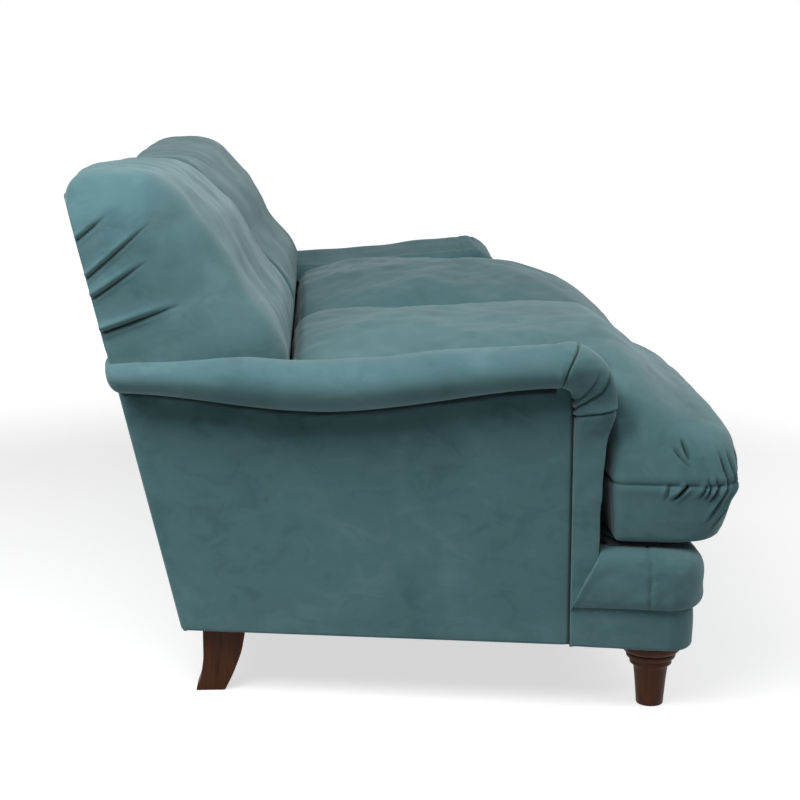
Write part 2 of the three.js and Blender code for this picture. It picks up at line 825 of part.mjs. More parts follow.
function lipReturnPad(sign) {
  const section = lipSection();
  const slope = facing.depth / (mitreTop - mitreFoot);
  const mitreY = (z) => -sideLength - Math.max(0, (z - mitreFoot) * slope) - 3 * clearance;
  const front = section.map(([depth, z]) => new THREE.Vector3(lipBulge - depth, lipSeam + clearance, z));
  const rear = section.map(([depth, z]) => new THREE.Vector3(lipBulge - depth, mitreY(z), z));
  return splay(loft([front, lerpRing(front, rear, 0.5), rear]), sign);
}

function frontBorder() {
  const outer = frontPath(0, cornerY + clearance);
  const inner = frontPath(-coverThickness, cornerY + clearance).reverse();
  return plate([...outer, ...inner], legHeight - borderDrop, lipBottom - clearance);
}

function borderReturn(sign) {
  const bottom = legHeight - borderDrop;
  const top = lipBottom - clearance;
  return splay(box(-coverThickness, 0, cornerY + 2 * clearance, -sideLength - clearance, bottom, top), sign);
}

// Outside back: a plate on the leaning rear face, narrower where the arm rolls end
function outsideBack() {
  const halfAt = (p, z) => sideX(p, rearFace(z));
  const low = rollUnderside(rearFace(deck + armRise)) - clearance;
  const frameEdge = -boardFace - railThickness;
  const right = [
    [halfAt(-boardFace, legHeight), legHeight],
    [halfAt(-boardFace, low) - clearance, low - clearance],
    [halfAt(frameEdge, low) - 2 * clearance, low - clearance],
    [halfAt(frameEdge, backStep) - 2 * clearance, backStep],
    [topRailHalf, backStep],
    [topRailHalf, topRailTop],
  ];
  const left = right.map(([x, z]) => [-x, z]).reverse();
  const outline = [...right, ...left].map(([x, z]) => new THREE.Vector2(x, z));
  const upright = bend(prism(outline, coverThickness), (vertex) => vertex.set(vertex.x, -vertex.z, vertex.y));
  return lean(upright);
}

// Back sections

const backLevels = 10; // steps up the front of a section
const backStationShares = [0.16, 0.33, 0.5, 0.67]; // of the way to its end
const backRearShares = [0.66, 0.33, 0];
const valleyShares = [1, 0.5, 0.2, 0.05, 0]; // of the rounding, seen from the valley
const endShares = [0.05, 0.2, 0.5, 0.8, 1]; // and towards the end
// Thickness ahead of the rear face, as shares of the full thickness, at shares of the height
const backFrontShares = [
  [0, 0.62], [0.19, 0.735], [0.305, 0.865], [0.39, 0.925], [0.475, 0.975], [0.56, 1], [0.615, 0.98],
  [0.652, 0.945], [0.75, 0.872], [0.849, 0.8], [0.93, 0.69], [0.965, 0.615], [0.99, 0.49],
];
const backTopShares = [[1, 0.31], [0.993, 0.2], [0.97, 0.09], [0.937, 0]];

function frontThickness(heightShare) {
  const next = Math.max(1, backFrontShares.findIndex(([height]) => height >= heightShare));
  const [h0, t0] = backFrontShares[next - 1];
  const [h1, t1] = backFrontShares[next];
  return t0 + ((t1 - t0) * (heightShare - h0)) / (h1 - h0);
}

function backOutline(bottom, sag) {
  const toPoint = ([height, thickness]) => {
    const z = deck + backHeight * height;
    return new THREE.Vector2(rearFace(z) - backThickness * thickness, z);
  };
  const bottomShare = (bottom - deck) / backHeight;
  const last = backFrontShares.at(-1)[0];
  const stepShare = (last - bottomShare) / backLevels;
  const levels = Array.from({ length: backLevels + 1 }, (_, i) => bottomShare + stepShare * i);
  const front = levels.map((level) => toPoint([level, frontThickness(level)]));
  front.forEach((point) => {
    point.x += sag;
  });
  const top = backTopShares.map(toPoint);
  top[0].y -= sag / 3;
  const rear = backRearShares.map((share) => {
    const level = bottomShare + (backTopShares.at(-1)[0] - bottomShare) * share;
    return toPoint([level, 0]);
  });
  return [...front, ...top, ...rear];
}

function backPad(sign) {
  const middle = (backGap + backEnd) / 2;
  const half = (backEnd - backGap) / 2;
  const station = (x, bottom, inset) => {
    const sag = backSag * ((x - middle) / half) ** 2;
    const outline = insetOutline(backOutline(bottom, sag), inset);
    outline[0].y = bottom;
    outline.at(-1).y = bottom;
    return outline.map((point) => new THREE.Vector3(x, point.x, point.y));
  };
  const rounded = (radius, share) => radius * (1 - Math.sqrt(1 - share * share));
  const low = deck + clearance;
  const step = backStep + clearance;
  const [near, far] = [backValleyRound, backEndRound];
  const valley = (share) => station(backGap + near * (1 - share), low, rounded(near, share));
  const end = (share) => station(backEnd - far * (1 - share), step, rounded(far, share));
  const rings = [
    ...valleyShares.map(valley),
    ...backStationShares.map((share) => station(backEnd * share, low, 0)),
    station(backLowerHalf, low, 0),
    station(backLowerHalf + 2 * clearance, step, 0),
    ...endShares.map(end),
  ];
  const bayEnd = topRailHalf + overrun / 2;
  const bay = lean(box(-overrun, bayEnd, -padDepth, overrun, legHeight, topRailTop + clearance));
  return mirror(cut(loft(rings), bay), sign);
}

// Seat cushions

// Points of a polygon with rounded corners, [corner, radius, steps round it, points along the next edge]
function roundedOutline(corners) {
  const points = [];
  corners.forEach(({ at, radius, steps, along }, i) => {
    const before = corners[(i + corners.length - 1) % corners.length].at;
    const after = corners[(i + 1) % corners.length];
    const back = before.clone().sub(at).normalize();
    const on = after.at.clone().sub(at).normalize();
    const start = at.clone().addScaledVector(back, radius);
    const end = at.clone().addScaledVector(on, radius);
    const curve = new THREE.QuadraticBezierCurve(start, at, end);
    points.push(...curve.getPoints(steps));
    const nextStart = after.at.clone().addScaledVector(on, -after.radius);
    for (let step = 1; step <= along; step += 1) points.push(end.clone().lerp(nextStart, step / (along + 1)));
  });
  return points;
}

function cushionOutline(inset, frontInset) {
  const armSide = (y) => sideX(-armThickness - cushion.armGap, y) - inset;
  const earSide = (y) => sideX(-cushion.earGap, y) - inset;
  const rear = -cushion.rearY - inset;
  const ear = -earY - inset;
  const front = -cushionFrontY + frontInset;
  const inner = cushion.gap + inset;
  const corner = (x, y, radius, steps, along) => ({
    at: new THREE.Vector2(x, y),
    radius: Math.max(radius - inset, radius * cushion.leastRoundShare),
    steps,
    along,
  });
  const small = cushion.cornerRound / 2;
  const outline = roundedOutline([
    corner(inner, rear, small, 2, 5),
    corner(armSide(rear), rear, small, 2, 4),
    corner(armSide(ear), ear, small / 4, 1, 1),
    corner(earSide(ear), ear, cushion.cornerRound, 3, 1),
    corner(earSide(front), front, cushion.frontRound, 4, 6),
    corner(inner, front, cushion.cornerRound, 3, 5),
  ]);
  const middle = (inner + earSide(front)) / 2;
  return outline.map((point) => {
    const across = clampShare(Math.abs(point.x - middle) / (middle - inner));
    const forward = clampShare((centreY + point.y) / (centreY - cushionFrontY));
    point.y -= cushion.bow * (1 - across * across) * forward;
    return point;
  });
}

// Height of the crown at a place, where edgeShare runs from 0 at the middle to 1 at the seam
function crownAt(x, y, edgeShare) {
  const toEar = smooth((cushion.blendLead - earY - y) / cushion.blend);
  const armReach = frontHalfWidth - armThickness + cushion.reach - crestX;
  const earReach = frontHalfWidth + cushion.earReach - crestX;
  const outerReach = armReach + (earReach - armReach) * toEar;
  const across = clampShare(Math.abs(x - crestX) / (x < crestX ? crestX + cushion.reach : outerReach));
  const nose = clampShare((cushion.noseRun - cushionFrontY - y) / cushion.nose);
  const rear = clampShare((y + cushion.rearY + cushion.rearStart) / cushion.rearRun);
  const dome = Math.sqrt(1 - across ** crownPower) * Math.sqrt(1 - nose ** nosePower);
  const fall = cushion.rearFall * rear ** fallPower;
  return (cushion.crown - fall) * dome * Math.sqrt(1 - edgeShare ** edgePower);
}

function seatCushion(sign) {
  const bottom = deck + clearance;
  const seam = bottom + cushion.border;
  const flat = (outline, z) => outline.map((point) => new THREE.Vector3(point.x, point.y, z));
  const full = cushionOutline(0, 0);
  const centre = new THREE.Vector2(centreX, -centreY);
  const wall = wallShares.map(([insetShare, heightShare]) => {
    const outline = cushionOutline(cushion.bottomInset * insetShare, cushion.bottomFrontInset * insetShare);
    return flat(outline, bottom + cushion.border * heightShare);
  });
  const dome = domeShares.map((share) =>
    full.map((point) => {
      const place = point.clone().sub(centre).multiplyScalar(share).add(centre);
      return new THREE.Vector3(place.x, place.y, seam + crownAt(place.x, place.y, share));
    }),
  );
  const rings = [...wall, ...dome];
  const top = rings.at(-1);
  const level = top.reduce((sum, point) => sum + point.z, 0) / top.length;
  top.forEach((point) => {
    point.z = level;
  });
  return mirror(loft(rings), sign);
}

// Zips: a tape on the rear border and a slider that runs along it

const zipBottom = deck + clearance + zip.lift;
const zipRear = -cushion.rearY + clearance + zip.thickness;
const zipStart = cushion.gap + zip.startInset;
const zipEnd = sideX(-armThickness - cushion.armGap, -cushion.rearY) - zip.endInset;

function zipTape(sign) {
  const rear = -cushion.rearY + clearance;
  return mirror(box(zipStart, zipEnd, rear, rear + zip.thickness, zipBottom, zipBottom + zip.height), sign);
}

function zipSlider(sign) {
  const right = zipEnd - clearance;
  const bodyRear = zipRear + clearance + slider.depth;
  const level = zipBottom + zip.height / 2;
  const middle = right - slider.width / 2;
  const [low, high] = [level - slider.height / 2, level + slider.height / 2];
  const body = box(right - slider.width, right, zipRear + clearance, bodyRear, low, high);
  const [tabLeft, tabRight] = [middle - slider.tabWidth / 2, middle + slider.tabWidth / 2];
  const tab = box(tabLeft, tabRight, bodyRear - slider.tabThickness, bodyRear, level - slider.tab, level);
  return mirror(toGeometry(toSolid(body).add(toSolid(tab))), sign);
}

// Assembly

for (const { word, sign } of sides) {
  add(`side_rail_${word}`, sideRail(sign), beech);
  add(`front_corner_post_${word}`, cornerPost(sign), beech);
  add(`arm_post_${word}`, armPost(sign), beech);
  add(`arm_board_${word}`, armBoard(sign), beech);
  add(`back_post_${word}`, backPost(sign), beech);
  add(`back_lower_rail_${word}`, lowerRail(sign), beech);
  add(`back_webbing_${word}`, backWebbing(sign), calico);
  add(`front_leg_${word}`, turnedLeg(), darkWood, sign * frontLegX, frontLegY);
  add(`rear_leg_${word}`, sabreLeg(), darkWood, sign * rearLegX, rearLegY);
  add(`front_leg_block_${word}`, legBlock(sign, -1), beech, sign * frontLegX, frontLegY);
  add(`rear_leg_block_${word}`, legBlock(sign, 1), beech, sign * rearLegX, rearLegY);
  add(`front_leg_bolt_${word}`, hangerBolt(), steel, sign * frontLegX, frontLegY);
  add(`rear_leg_bolt_${word}`, hangerBolt(), steel, sign * rearLegX, rearLegY);
  add(`inner_arm_${word}`, innerArm(sign), velvet);
  add(`outside_arm_${word}`, outsideArm(sign), velvet);
  add(`arm_roll_${word}`, armRoll(sign), velvet);
  add(`arm_facing_${word}`, armFacing(sign), velvet);
  add(`lip_return_${word}`, lipReturnPad(sign), velvet);
  add(`border_return_${word}`, borderReturn(sign), velvet);
  add(`back_pad_${word}`, backPad(sign), velvet);
  add(`seat_cushion_${word}`, seatCushion(sign), velvet);
  add(`zip_tape_${word}`, zipTape(sign), cambric);
  add(`zip_slider_${word}`, zipSlider(sign), steel);
  add(`spring_set_${word}`, springSet(sign), steel);
}
add("front_rail", frontRail(), beech);
add("rear_rail", rearRail(), beech);
add("centre_stretcher", stretcher(), beech);
add("back_centre_post", centrePost(), beech);
add("back_top_rail", topRail(), beech);
add("spring_clip_front", clipStrip(springFront), steel);
add("spring_clip_rear", clipStrip(springRear - clipWidth), steel);
add("seat_platform", platform(), calico);
add("front_lip", frontLip(), velvet);
add("front_border", frontBorder(), velvet);
add("outside_back", outsideBack(), velvet);
add("dust_cover", dustCover(), cambric);

// The finished part stands on z = 0, centred over its own footprint
const reach = new THREE.Box3().setFromObject(sofa);
const middle = reach.getCenter(new THREE.Vector3());
sofa.position.set(-middle.x, -middle.y, -reach.min.z);
const part = new THREE.Group();
part.add(sofa);

export default part;
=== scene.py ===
import json
import math

import bmesh
import bpy
import numpy as np
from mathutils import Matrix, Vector


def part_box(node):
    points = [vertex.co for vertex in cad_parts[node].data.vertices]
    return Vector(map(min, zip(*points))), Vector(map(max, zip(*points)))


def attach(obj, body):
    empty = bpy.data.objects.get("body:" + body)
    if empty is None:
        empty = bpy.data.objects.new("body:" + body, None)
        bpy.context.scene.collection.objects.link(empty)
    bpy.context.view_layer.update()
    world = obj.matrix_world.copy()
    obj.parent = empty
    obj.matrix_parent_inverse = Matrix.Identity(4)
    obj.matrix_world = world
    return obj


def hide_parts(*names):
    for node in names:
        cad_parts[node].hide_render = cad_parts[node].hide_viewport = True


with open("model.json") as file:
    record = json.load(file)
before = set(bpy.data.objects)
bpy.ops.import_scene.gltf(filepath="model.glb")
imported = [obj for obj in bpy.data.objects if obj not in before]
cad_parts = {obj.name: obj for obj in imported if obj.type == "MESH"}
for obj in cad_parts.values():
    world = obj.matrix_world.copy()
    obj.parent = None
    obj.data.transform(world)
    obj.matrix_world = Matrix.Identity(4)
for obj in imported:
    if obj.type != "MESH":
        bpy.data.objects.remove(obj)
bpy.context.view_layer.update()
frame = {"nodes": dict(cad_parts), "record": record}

# Lengths of the source, in millimetres: x outwards, y = 0 at the rear foot of the side panels, z up. The arms
# are made in (p, y, z), where p is the distance outwards from the face of the side panel.
SIDE = 634.0  # length of a side panel
FLOOR = 6.0
LEG = 118.0  # underside of the frame
DECK = 283.3  # top of the seat platform
HALF = 917.0  # centre line to the side panel at its front
SPLAY = 0.168  # how much the sides draw in, per length towards the rear
RAKE = 0.237  # how much the rear leans, per height
ARM = 115.0  # thickness of an arm
INNER_ARM_Y = -184.0  # where the inside of an arm meets the back
BACK_END = 864.0  # centre line to the end of a back section
BACK_STEP = 566.0  # height at which the back sections pass over the arms
Y_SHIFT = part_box("outside_arm_left")[0].y * 1000 + SIDE
Z_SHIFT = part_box("outside_arm_left")[0].z * 1000 - LEG
SIDES = {-1: "left", 1: "right"}
QUARTER = math.pi / 2


def smooth(t):
    t = np.clip(t, 0, 1)
    return t * t * (3 - 2 * t)


def side_x(p, y):
    return HALF + p - SPLAY * (SIDE + y)


def rear_face(z):
    return RAKE * (z - LEG)


# Mesh helpers


def grid_faces(rows, columns, wrap=False, start=0):
    """Quads of a grid whose points lie row by row; wrap joins the last column to the first."""
    i, j = np.meshgrid(np.arange(rows - 1), np.arange(columns if wrap else columns - 1), indexing="ij")
    k = (j + 1) % columns
    quads = np.stack([i * columns + j, (i + 1) * columns + j, (i + 1) * columns + k, i * columns + k], -1)
    return (quads.reshape(-1, 4) + start).tolist()


def fan(ring, centre):
    return [[ring[i], ring[(i + 1) % len(ring)], centre] for i in range(len(ring))]


def edge_ring(rows, columns):
    """The points round the edge of a grid, in order."""
    down = [(i, 0) for i in range(rows)]
    along = [(rows - 1, j) for j in range(1, columns)]
    up = [(i, columns - 1) for i in range(rows - 2, -1, -1)]
    home = [(0, j) for j in range(columns - 2, 0, -1)]
    return [i * columns + j for i, j in down + along + up + home]


def wall(ring, other):
    """Quads between two rings of as many points."""
    return [[ring[k - 1], ring[k], other[k], other[k - 1]] for k in range(len(ring))]


def closed_tube(grid):
    """Points and faces of a tube of rings, with a middle point at each end."""
    rows, columns = grid.shape[:2]
    count = rows * columns
    points = np.concatenate([grid.reshape(-1, 3), [grid[0].mean(0)], [grid[-1].mean(0)]])
    faces = grid_faces(rows, columns, wrap=True)
    faces += fan(list(range(columns)), count) + fan(list(range(count - columns, count)), count + 1)
    return points, faces


def closed_band(grid):
    """Points and faces of a band whose last row joins its first, with both ends filled."""
    rows, columns = grid.shape[:2]
    points = grid.reshape(-1, 3)
    last = (rows - 1) * columns
    faces = grid_faces(rows, columns) + [[last + j, j, j + 1, last + j + 1] for j in range(columns - 1)]
    for end in (0, columns - 1):
        ring = list(range(end, rows * columns, columns))
        faces += fan(ring, len(points))
        points = np.concatenate([points, [points[ring].mean(0)]])
    return points, faces


def line_of(flat, z):
    """Points in plan, lifted to a height."""
    return np.column_stack([flat, np.broadcast_to(z, len(flat))])


def line_at(x, y, z):
    """Points of a section at one place along the sofa."""
    return np.stack([np.broadcast_to(x, z.shape), y, z], -1)


def spaced(start, *stretches):
    """Places from a start over stretches, each given by its end and its count of places."""
    places = [start]
    for end, count in stretches:
        places.extend(np.linspace(start, end, count)[1:])
        start = end
    return np.array(places)


def run_along(line):
    """Distance of each point from the start of a line."""
    return np.concatenate([[0], np.cumsum(np.linalg.norm(np.diff(line, axis=0), axis=1))])


def grid_normals(grid, wrap=False):
    """Unit normals of a grid of points, by differences between neighbours."""
    du = np.gradient(grid, axis=0)
    if wrap:
        ring = np.concatenate([grid[:, -1:], grid, grid[:, :1]], 1)
        dv = np.gradient(ring, axis=1)[:, 1:-1]
    else:
        dv = np.gradient(grid, axis=1)
    normal = np.cross(du, dv)
    length = np.linalg.norm(normal, axis=-1, keepdims=True)
    return normal / np.maximum(length, 1e-9)


def pointing(normals, at, axis, sign):
    """The normals, all turned round where the one at a known spot has the wrong sign along an axis."""
    return normals if normals[at][axis] * sign > 0 else -normals


def curve(points, count):
    """Points evenly spaced on a smooth curve through the given ones."""
    points = np.asarray(points, float)
    knots = np.concatenate([[0], np.cumsum(np.sqrt(np.linalg.norm(np.diff(points, axis=0), axis=1)))])
    slopes = np.gradient(points, knots, axis=0)
    fine = np.linspace(0, knots[-1], count * 8)
    k = np.clip(np.searchsorted(knots, fine, side="right") - 1, 0, len(knots) - 2)
    gap = (knots[k + 1] - knots[k])[:, None]
    t = ((fine - knots[k]) / gap[:, 0])[:, None]
    a, b = points[k], points[k + 1]
    curved = (
        (2 * t**3 - 3 * t**2 + 1) * a + (t**3 - 2 * t**2 + t) * gap * slopes[k]
        + (3 * t**2 - 2 * t**3) * b + (t**3 - t**2) * gap * slopes[k + 1]
    )
    run = run_along(curved)
    even = np.linspace(0, run[-1], count)
    return np.stack([np.interp(even, run, curved[:, i]) for i in range(points.shape[1])], -1)


def waves(places, size, seed, count=18):
    """Smooth seeded noise of about unit height, with lumps of the given size in millimetres."""
    chance = np.random.default_rng(seed)
    ways = chance.normal(size=(count, 3))
    ways /= np.linalg.norm(ways, axis=1)[:, None]
    pace = 2 * np.pi / (size * chance.uniform(0.7, 1.7, count))
    start = chance.uniform(0, 2 * np.pi, count)
    return np.sin((places @ ways.T) * pace + start).sum(-1) * math.sqrt(2 / count)


def rounded(distance, radius):
    """How much of its whole fall a rounded edge still has at a distance from it."""
    return 1 - np.sqrt(1 - np.clip(1 - distance / radius, 0, 1) ** 2)


def bell(distance, width):
    return np.exp(-((distance / width) ** 2))


def fold(a, h, ends, depth, width, lap=0.0, both=False):
    """A crease between two places in the (a, h) plane, faded to its far end or to both; lap lifts one side."""
    (a0, h0), (a1, h1) = ends
    da, dh = a1 - a0, h1 - h0
    length = math.hypot(da, dh)
    along = ((a - a0) * da + (h - h0) * dh) / length**2
    across = ((a - a0) * dh - (h - h0) * da) / length
    beyond = np.maximum(0, np.maximum(-along, along - 1)) * length
    t = np.clip(along, 0, 1)
    if both:
        strength = np.sin(np.pi * (0.06 + 0.88 * t)) ** 0.7
    else:
        strength = (1 - smooth((t - 0.3) / 0.7)) * smooth((along * length + 3) / 5)
    strength = strength * bell(beyond, width)
    rims = 0.36 * bell(np.abs(across) - 2.4 * width, 1.5 * width)
    groove = rims - np.exp(-(np.abs(across / width) ** 1.4))
    step = lap * (smooth(across / (0.7 * width) + 0.5) - 0.5) * bell(across, 5 * width) * 2
    return depth * strength * (groove + step)


def place(points):
    """Construction millimetres to the frame's metres."""
    points = np.array(points, float).reshape(-1, 3)
    points[:, 1] += Y_SHIFT
    points[:, 2] += Z_SHIFT
    return points / 1000


WELD = 0.00002  # metres within which two points of a mesh become one


def make(name, points, faces, replaced, side=1, body="sofa", fill=None, weld=False, sharp=None, crease=()):
    """A piece of mesh that stands for nodes and has their finish; side -1 mirrors it to the left. The fill
    argument is not used.
    fill is the tightness of a pad, sharp the angle in degrees from which an edge shows, and the last argument
    how much painted shade darkens the velvet at each point, in creases and where other parts shade it."""
    points = place(points)
    points[:, 0] *= side
    mesh = bpy.data.meshes.new(name)
    mesh.from_pydata(points.tolist(), [], [list(face) for face in faces])
    # painted shade: kept on the points as an attribute that darkens the velvet's colour
    if len(crease):
        painted_darkening = np.zeros(len(points))
        painted_darkening[:crease.size] = np.clip(crease.reshape(-1), 0, 1)
        mesh.attributes.new("crease", "FLOAT", "POINT").data.foreach_set("value", painted_darkening)
    work = bmesh.new()
    work.from_mesh(mesh)
    if weld:
        bmesh.ops.remove_doubles(work, verts=work.verts, dist=WELD)
    bmesh.ops.dissolve_degenerate(work, edges=work.edges, dist=1e-6)
    bmesh.ops.recalc_face_normals(work, faces=work.faces)
    work.to_mesh(mesh)
    work.free()
    mesh.shade_smooth()
    if sharp:
        mesh.set_sharp_from_angle(angle=math.radians(sharp))
    slot = slot_of[replaced[0]]
    mesh.materials.append(MATERIALS[slot])
    piece = bpy.data.objects.new(name, mesh)
    bpy.context.scene.collection.objects.link(piece)
    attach(piece, body)
    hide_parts(*replaced)


# Materials


def feed(tree, sockets, values):
    """Sets sockets by name or number: by a link where a value varies, directly where it is the same all over."""
    for key, value in values.items():
        if isinstance(value, bpy.types.NodeSocket):
            tree.links.new(value, sockets[key])
        else:
            sockets[key].default_value = value


def node(tree, kind, inputs=None, **settings):
    made = tree.nodes.new(kind)
    for key, value in settings.items():
        setattr(made, key, value)
    feed(tree, made.inputs, inputs or {})
    return made


def new_material(name):
    """A material with its node tree, its shader's sockets and the places on the object."""
    material = bpy.data.materials.new(name)
    material.use_nodes = True
    tree = material.node_tree
    places = node(tree, "ShaderNodeTexCoord").outputs["Object"]
    return material, tree, tree.nodes["Principled BSDF"].inputs, places


def ramp(tree, factor, stops):
    made = tree.nodes.new("ShaderNodeValToRGB")
    made.color_ramp.interpolation = "EASE"
    elements = made.color_ramp.elements
    while len(elements) < len(stops):
        elements.new(0.5)
    for element, (position, colour) in zip(elements, stops):
        element.position = position
        element.color = (*colour, 1)
    tree.links.new(factor, made.inputs["Fac"])
    return made.outputs["Color"]


def stretched(tree, places, scale, turn=(0, 0, 0)):
    mapping = node(tree, "ShaderNodeMapping", {"Vector": places, "Scale": scale, "Rotation": turn})
    return mapping.outputs["Vector"]


def noise(tree, places, scale, detail=2.0, rough=0.5, warp=0.0):
    inputs = {"Vector": places, "Scale": scale, "Detail": detail, "Roughness": rough, "Distortion": warp}
    return node(tree, "ShaderNodeTexNoise", inputs).outputs["Fac"]


def maths(tree, operation, a, b):
    return node(tree, "ShaderNodeMath", {0: a, 1: b}, operation=operation).outputs["Value"]


def mixed(tree, factor, a, b, blend="MIX"):
    inputs = {0: factor, 6: a, 7: (*b, 1) if isinstance(b, tuple) else b}
    return node(tree, "ShaderNodeMix", inputs, data_type="RGBA", blend_type=blend).outputs[2]


def bump(tree, height, strength, distance, below=None):
    inputs = {"Height": height, "Strength": strength, "Distance": distance}
    if below:
        inputs["Normal"] = below
    return node(tree, "ShaderNodeBump", inputs).outputs["Normal"]


def blend_of(tree, a, share, b):
    """Two patterns added by their shares."""
    return maths(tree, "ADD", maths(tree, "MULTIPLY", a, share), maths(tree, "MULTIPLY", b, 1 - share))


def spread(tree, value, low, high, to_low, to_high, **settings):
    """A value carried from one range to another."""
    inputs = {"Value": value, "From Min": low, "From Max": high, "To Min": to_low, "To Max": to_high}
    return node(tree, "ShaderNodeMapRange", inputs, **settings).outputs["Result"]


# Velvet: pile brushed dark, lying even and brushed light; painted shade for creases and for where other parts
# shade it; sheen
PILE_TONES = [(0.34, (0.059, 0.137, 0.150)), (0.5, (0.076, 0.168, 0.183)), (0.68, (0.099, 0.203, 0.219))]
PAINTED_CREASE_SHADE = (0.008, 0.019, 0.022)
PILE_SHEEN = (0.76, 0.88, 0.90, 1)
FLECKS = [(0.3, (0.88, 0.88, 0.88)), (0.72, (1.0, 1.0, 1.0))]


def velvet_material():
    material, tree, shader, places = new_material("Velvet")
    broad = noise(tree, places, 5.5, 3.0, 0.55, 0.6)
    brushed = noise(tree, stretched(tree, places, (9, 16, 26), (0.3, 0.2, 0.6)), 1.0, 3.0, 0.6, 1.2)
    patches = blend_of(tree, broad, 0.6, brushed)
    pile = noise(tree, places, 950.0, 2.0, 0.6)
    unshaded_pile = mixed(tree, 1.0, ramp(tree, patches, PILE_TONES), ramp(tree, pile, FLECKS), "MULTIPLY")
    # painted shade: the attribute from the mesh darkens the velvet towards a near-black teal in creases and
    # recesses
    painted_darkening = node(tree, "ShaderNodeAttribute", attribute_name="crease").outputs["Fac"]
    threads = {"Vector": places, "Scale": 420.0, "Distortion": 1.5, "Detail": 1.0}
    weave = node(tree, "ShaderNodeTexWave", threads, wave_type="BANDS", bands_direction="DIAGONAL")
    crushed = noise(tree, places, 42.0, 4.0, 0.6, 0.4)
    relief = bump(tree, pile, 0.14, 0.0006, bump(tree, crushed, 0.16, 0.004))
    feed(tree, shader, {
        "Base Color": mixed(tree, painted_darkening, unshaded_pile, PAINTED_CREASE_SHADE),
        "Roughness": spread(tree, patches, 0.35, 0.68, 0.92, 0.78),
        "Normal": bump(tree, weave.outputs["Fac"], 0.04, 0.0004, relief), "Specular IOR Level": 0.22,
        "Sheen Weight": 0.38, "Sheen Roughness": 0.48, "Sheen Tint": PILE_SHEEN,
    })
    return material


def wood_material(name, dark, light, rough, grain, coat):
    """Wood whose grain is given as a scale along x, y and z."""
    material, tree, shader, places = new_material(name)
    fibres = noise(tree, stretched(tree, places, grain), 1.0, 5.0, 0.62, 0.8)
    bands = noise(tree, stretched(tree, places, tuple(0.25 * g for g in grain)), 1.0, 2.0, 0.5, 2.2)
    pores = noise(tree, stretched(tree, places, tuple(3.2 * g for g in grain)), 1.0, 2.0, 0.5)
    middle = tuple((a + b) / 2 for a, b in zip(dark, light))
    tones = [(0.34, dark), (0.5, middle), (0.68, light)]
    feed(tree, shader, {
        "Base Color": ramp(tree, blend_of(tree, fibres, 0.6, bands), tones),
        "Roughness": spread(tree, fibres, 0.3, 0.7, rough - 0.07, rough + 0.1),
        "Normal": bump(tree, pores, 0.12, 0.0006),
        "Specular IOR Level": 0.14, "Coat Weight": coat, "Coat Roughness": 0.3,
    })
    return material


FACING_FROM, FACING_TO = -0.10, -0.11  # metres along y between which the platform's facing of velvet begins


def cloth_material(name, dark, light, threads, shaded_facing=None):
    """Plain woven cloth; facing is the colour of the velvet sewn on at the front, given darker than the velvet
    as painted shade under the cushions.
    """
    material, tree, shader, places = new_material(name)
    spots = noise(tree, places, 14.0, 4.0, 0.6)
    slubs = noise(tree, stretched(tree, places, (threads, 30, threads)), 1.0, 2.0, 0.6)
    colour = ramp(tree, blend_of(tree, spots, 0.5, slubs), [(0.36, dark), (0.64, light)])
    if shaded_facing:
        # painted shade: the facing takes its darkened colour from here forwards
        y = node(tree, "ShaderNodeSeparateXYZ", {"Vector": places}).outputs["Y"]
        colour = mixed(tree, spread(tree, y, FACING_FROM, FACING_TO, 0, 1), colour, shaded_facing)
    inputs = {"Vector": places, "Scale": threads, "Distortion": 0.6}
    warp, weft = (node(tree, "ShaderNodeTexWave", inputs, bands_direction=way).outputs["Fac"] for way in "XY")
    feed(tree, shader, {
        "Base Color": colour, "Normal": bump(tree, maths(tree, "MULTIPLY", warp, weft), 0.35, 0.0005),
        "Roughness": 0.92, "Sheen Weight": 0.1,
    })
    return material


STEEL_TONES = [(0.35, (0.30, 0.31, 0.32)), (0.65, (0.46, 0.47, 0.49))]


def steel_material():
    material, tree, shader, places = new_material("Steel")
    marks = noise(tree, stretched(tree, places, (60, 600, 600)), 1.0, 4.0, 0.6)
    feed(tree, shader, {
        "Base Color": ramp(tree, noise(tree, places, 40.0, 3.0, 0.6), STEEL_TONES),
        "Roughness": spread(tree, marks, 0.3, 0.7, 0.28, 0.46),
        "Normal": bump(tree, marks, 0.06, 0.0003), "Metallic": 1.0,
    })
    return material


MATERIALS = {
    "velvet": velvet_material(),
    "leg_wood": wood_material("Dark walnut", (0.030, 0.0088, 0.0034), (0.098, 0.031, 0.0115), 0.44,
                              (160, 160, 14), 0.04),
    "frame_wood": wood_material("Beech", (0.46, 0.31, 0.17), (0.66, 0.49, 0.30), 0.62, (22, 150, 150), 0.0),
    "steel": steel_material(),
    # the velvet facing at the platform's front is painted dark, as the shade under the cushions
    "calico": cloth_material("Calico", (0.50, 0.44, 0.34), (0.68, 0.62, 0.52), 520.0, (0.018, 0.040, 0.045)),
    "black_cloth": cloth_material("Black cambric", (0.010, 0.010, 0.011), (0.024, 0.024, 0.027), 700.0),
}
slot_of = {part["node"]: part["material_slot"] for part in frame["record"]["subparts"]}
for node_name, solid in frame["nodes"].items():
    if not solid.data.materials:
        solid.data.materials.append(None)
    for material_slot in solid.material_slots:
        material_slot.material = MATERIALS[slot_of[node_name]]


# Arms: a roll along the top that turns down at the bend into the pleated front

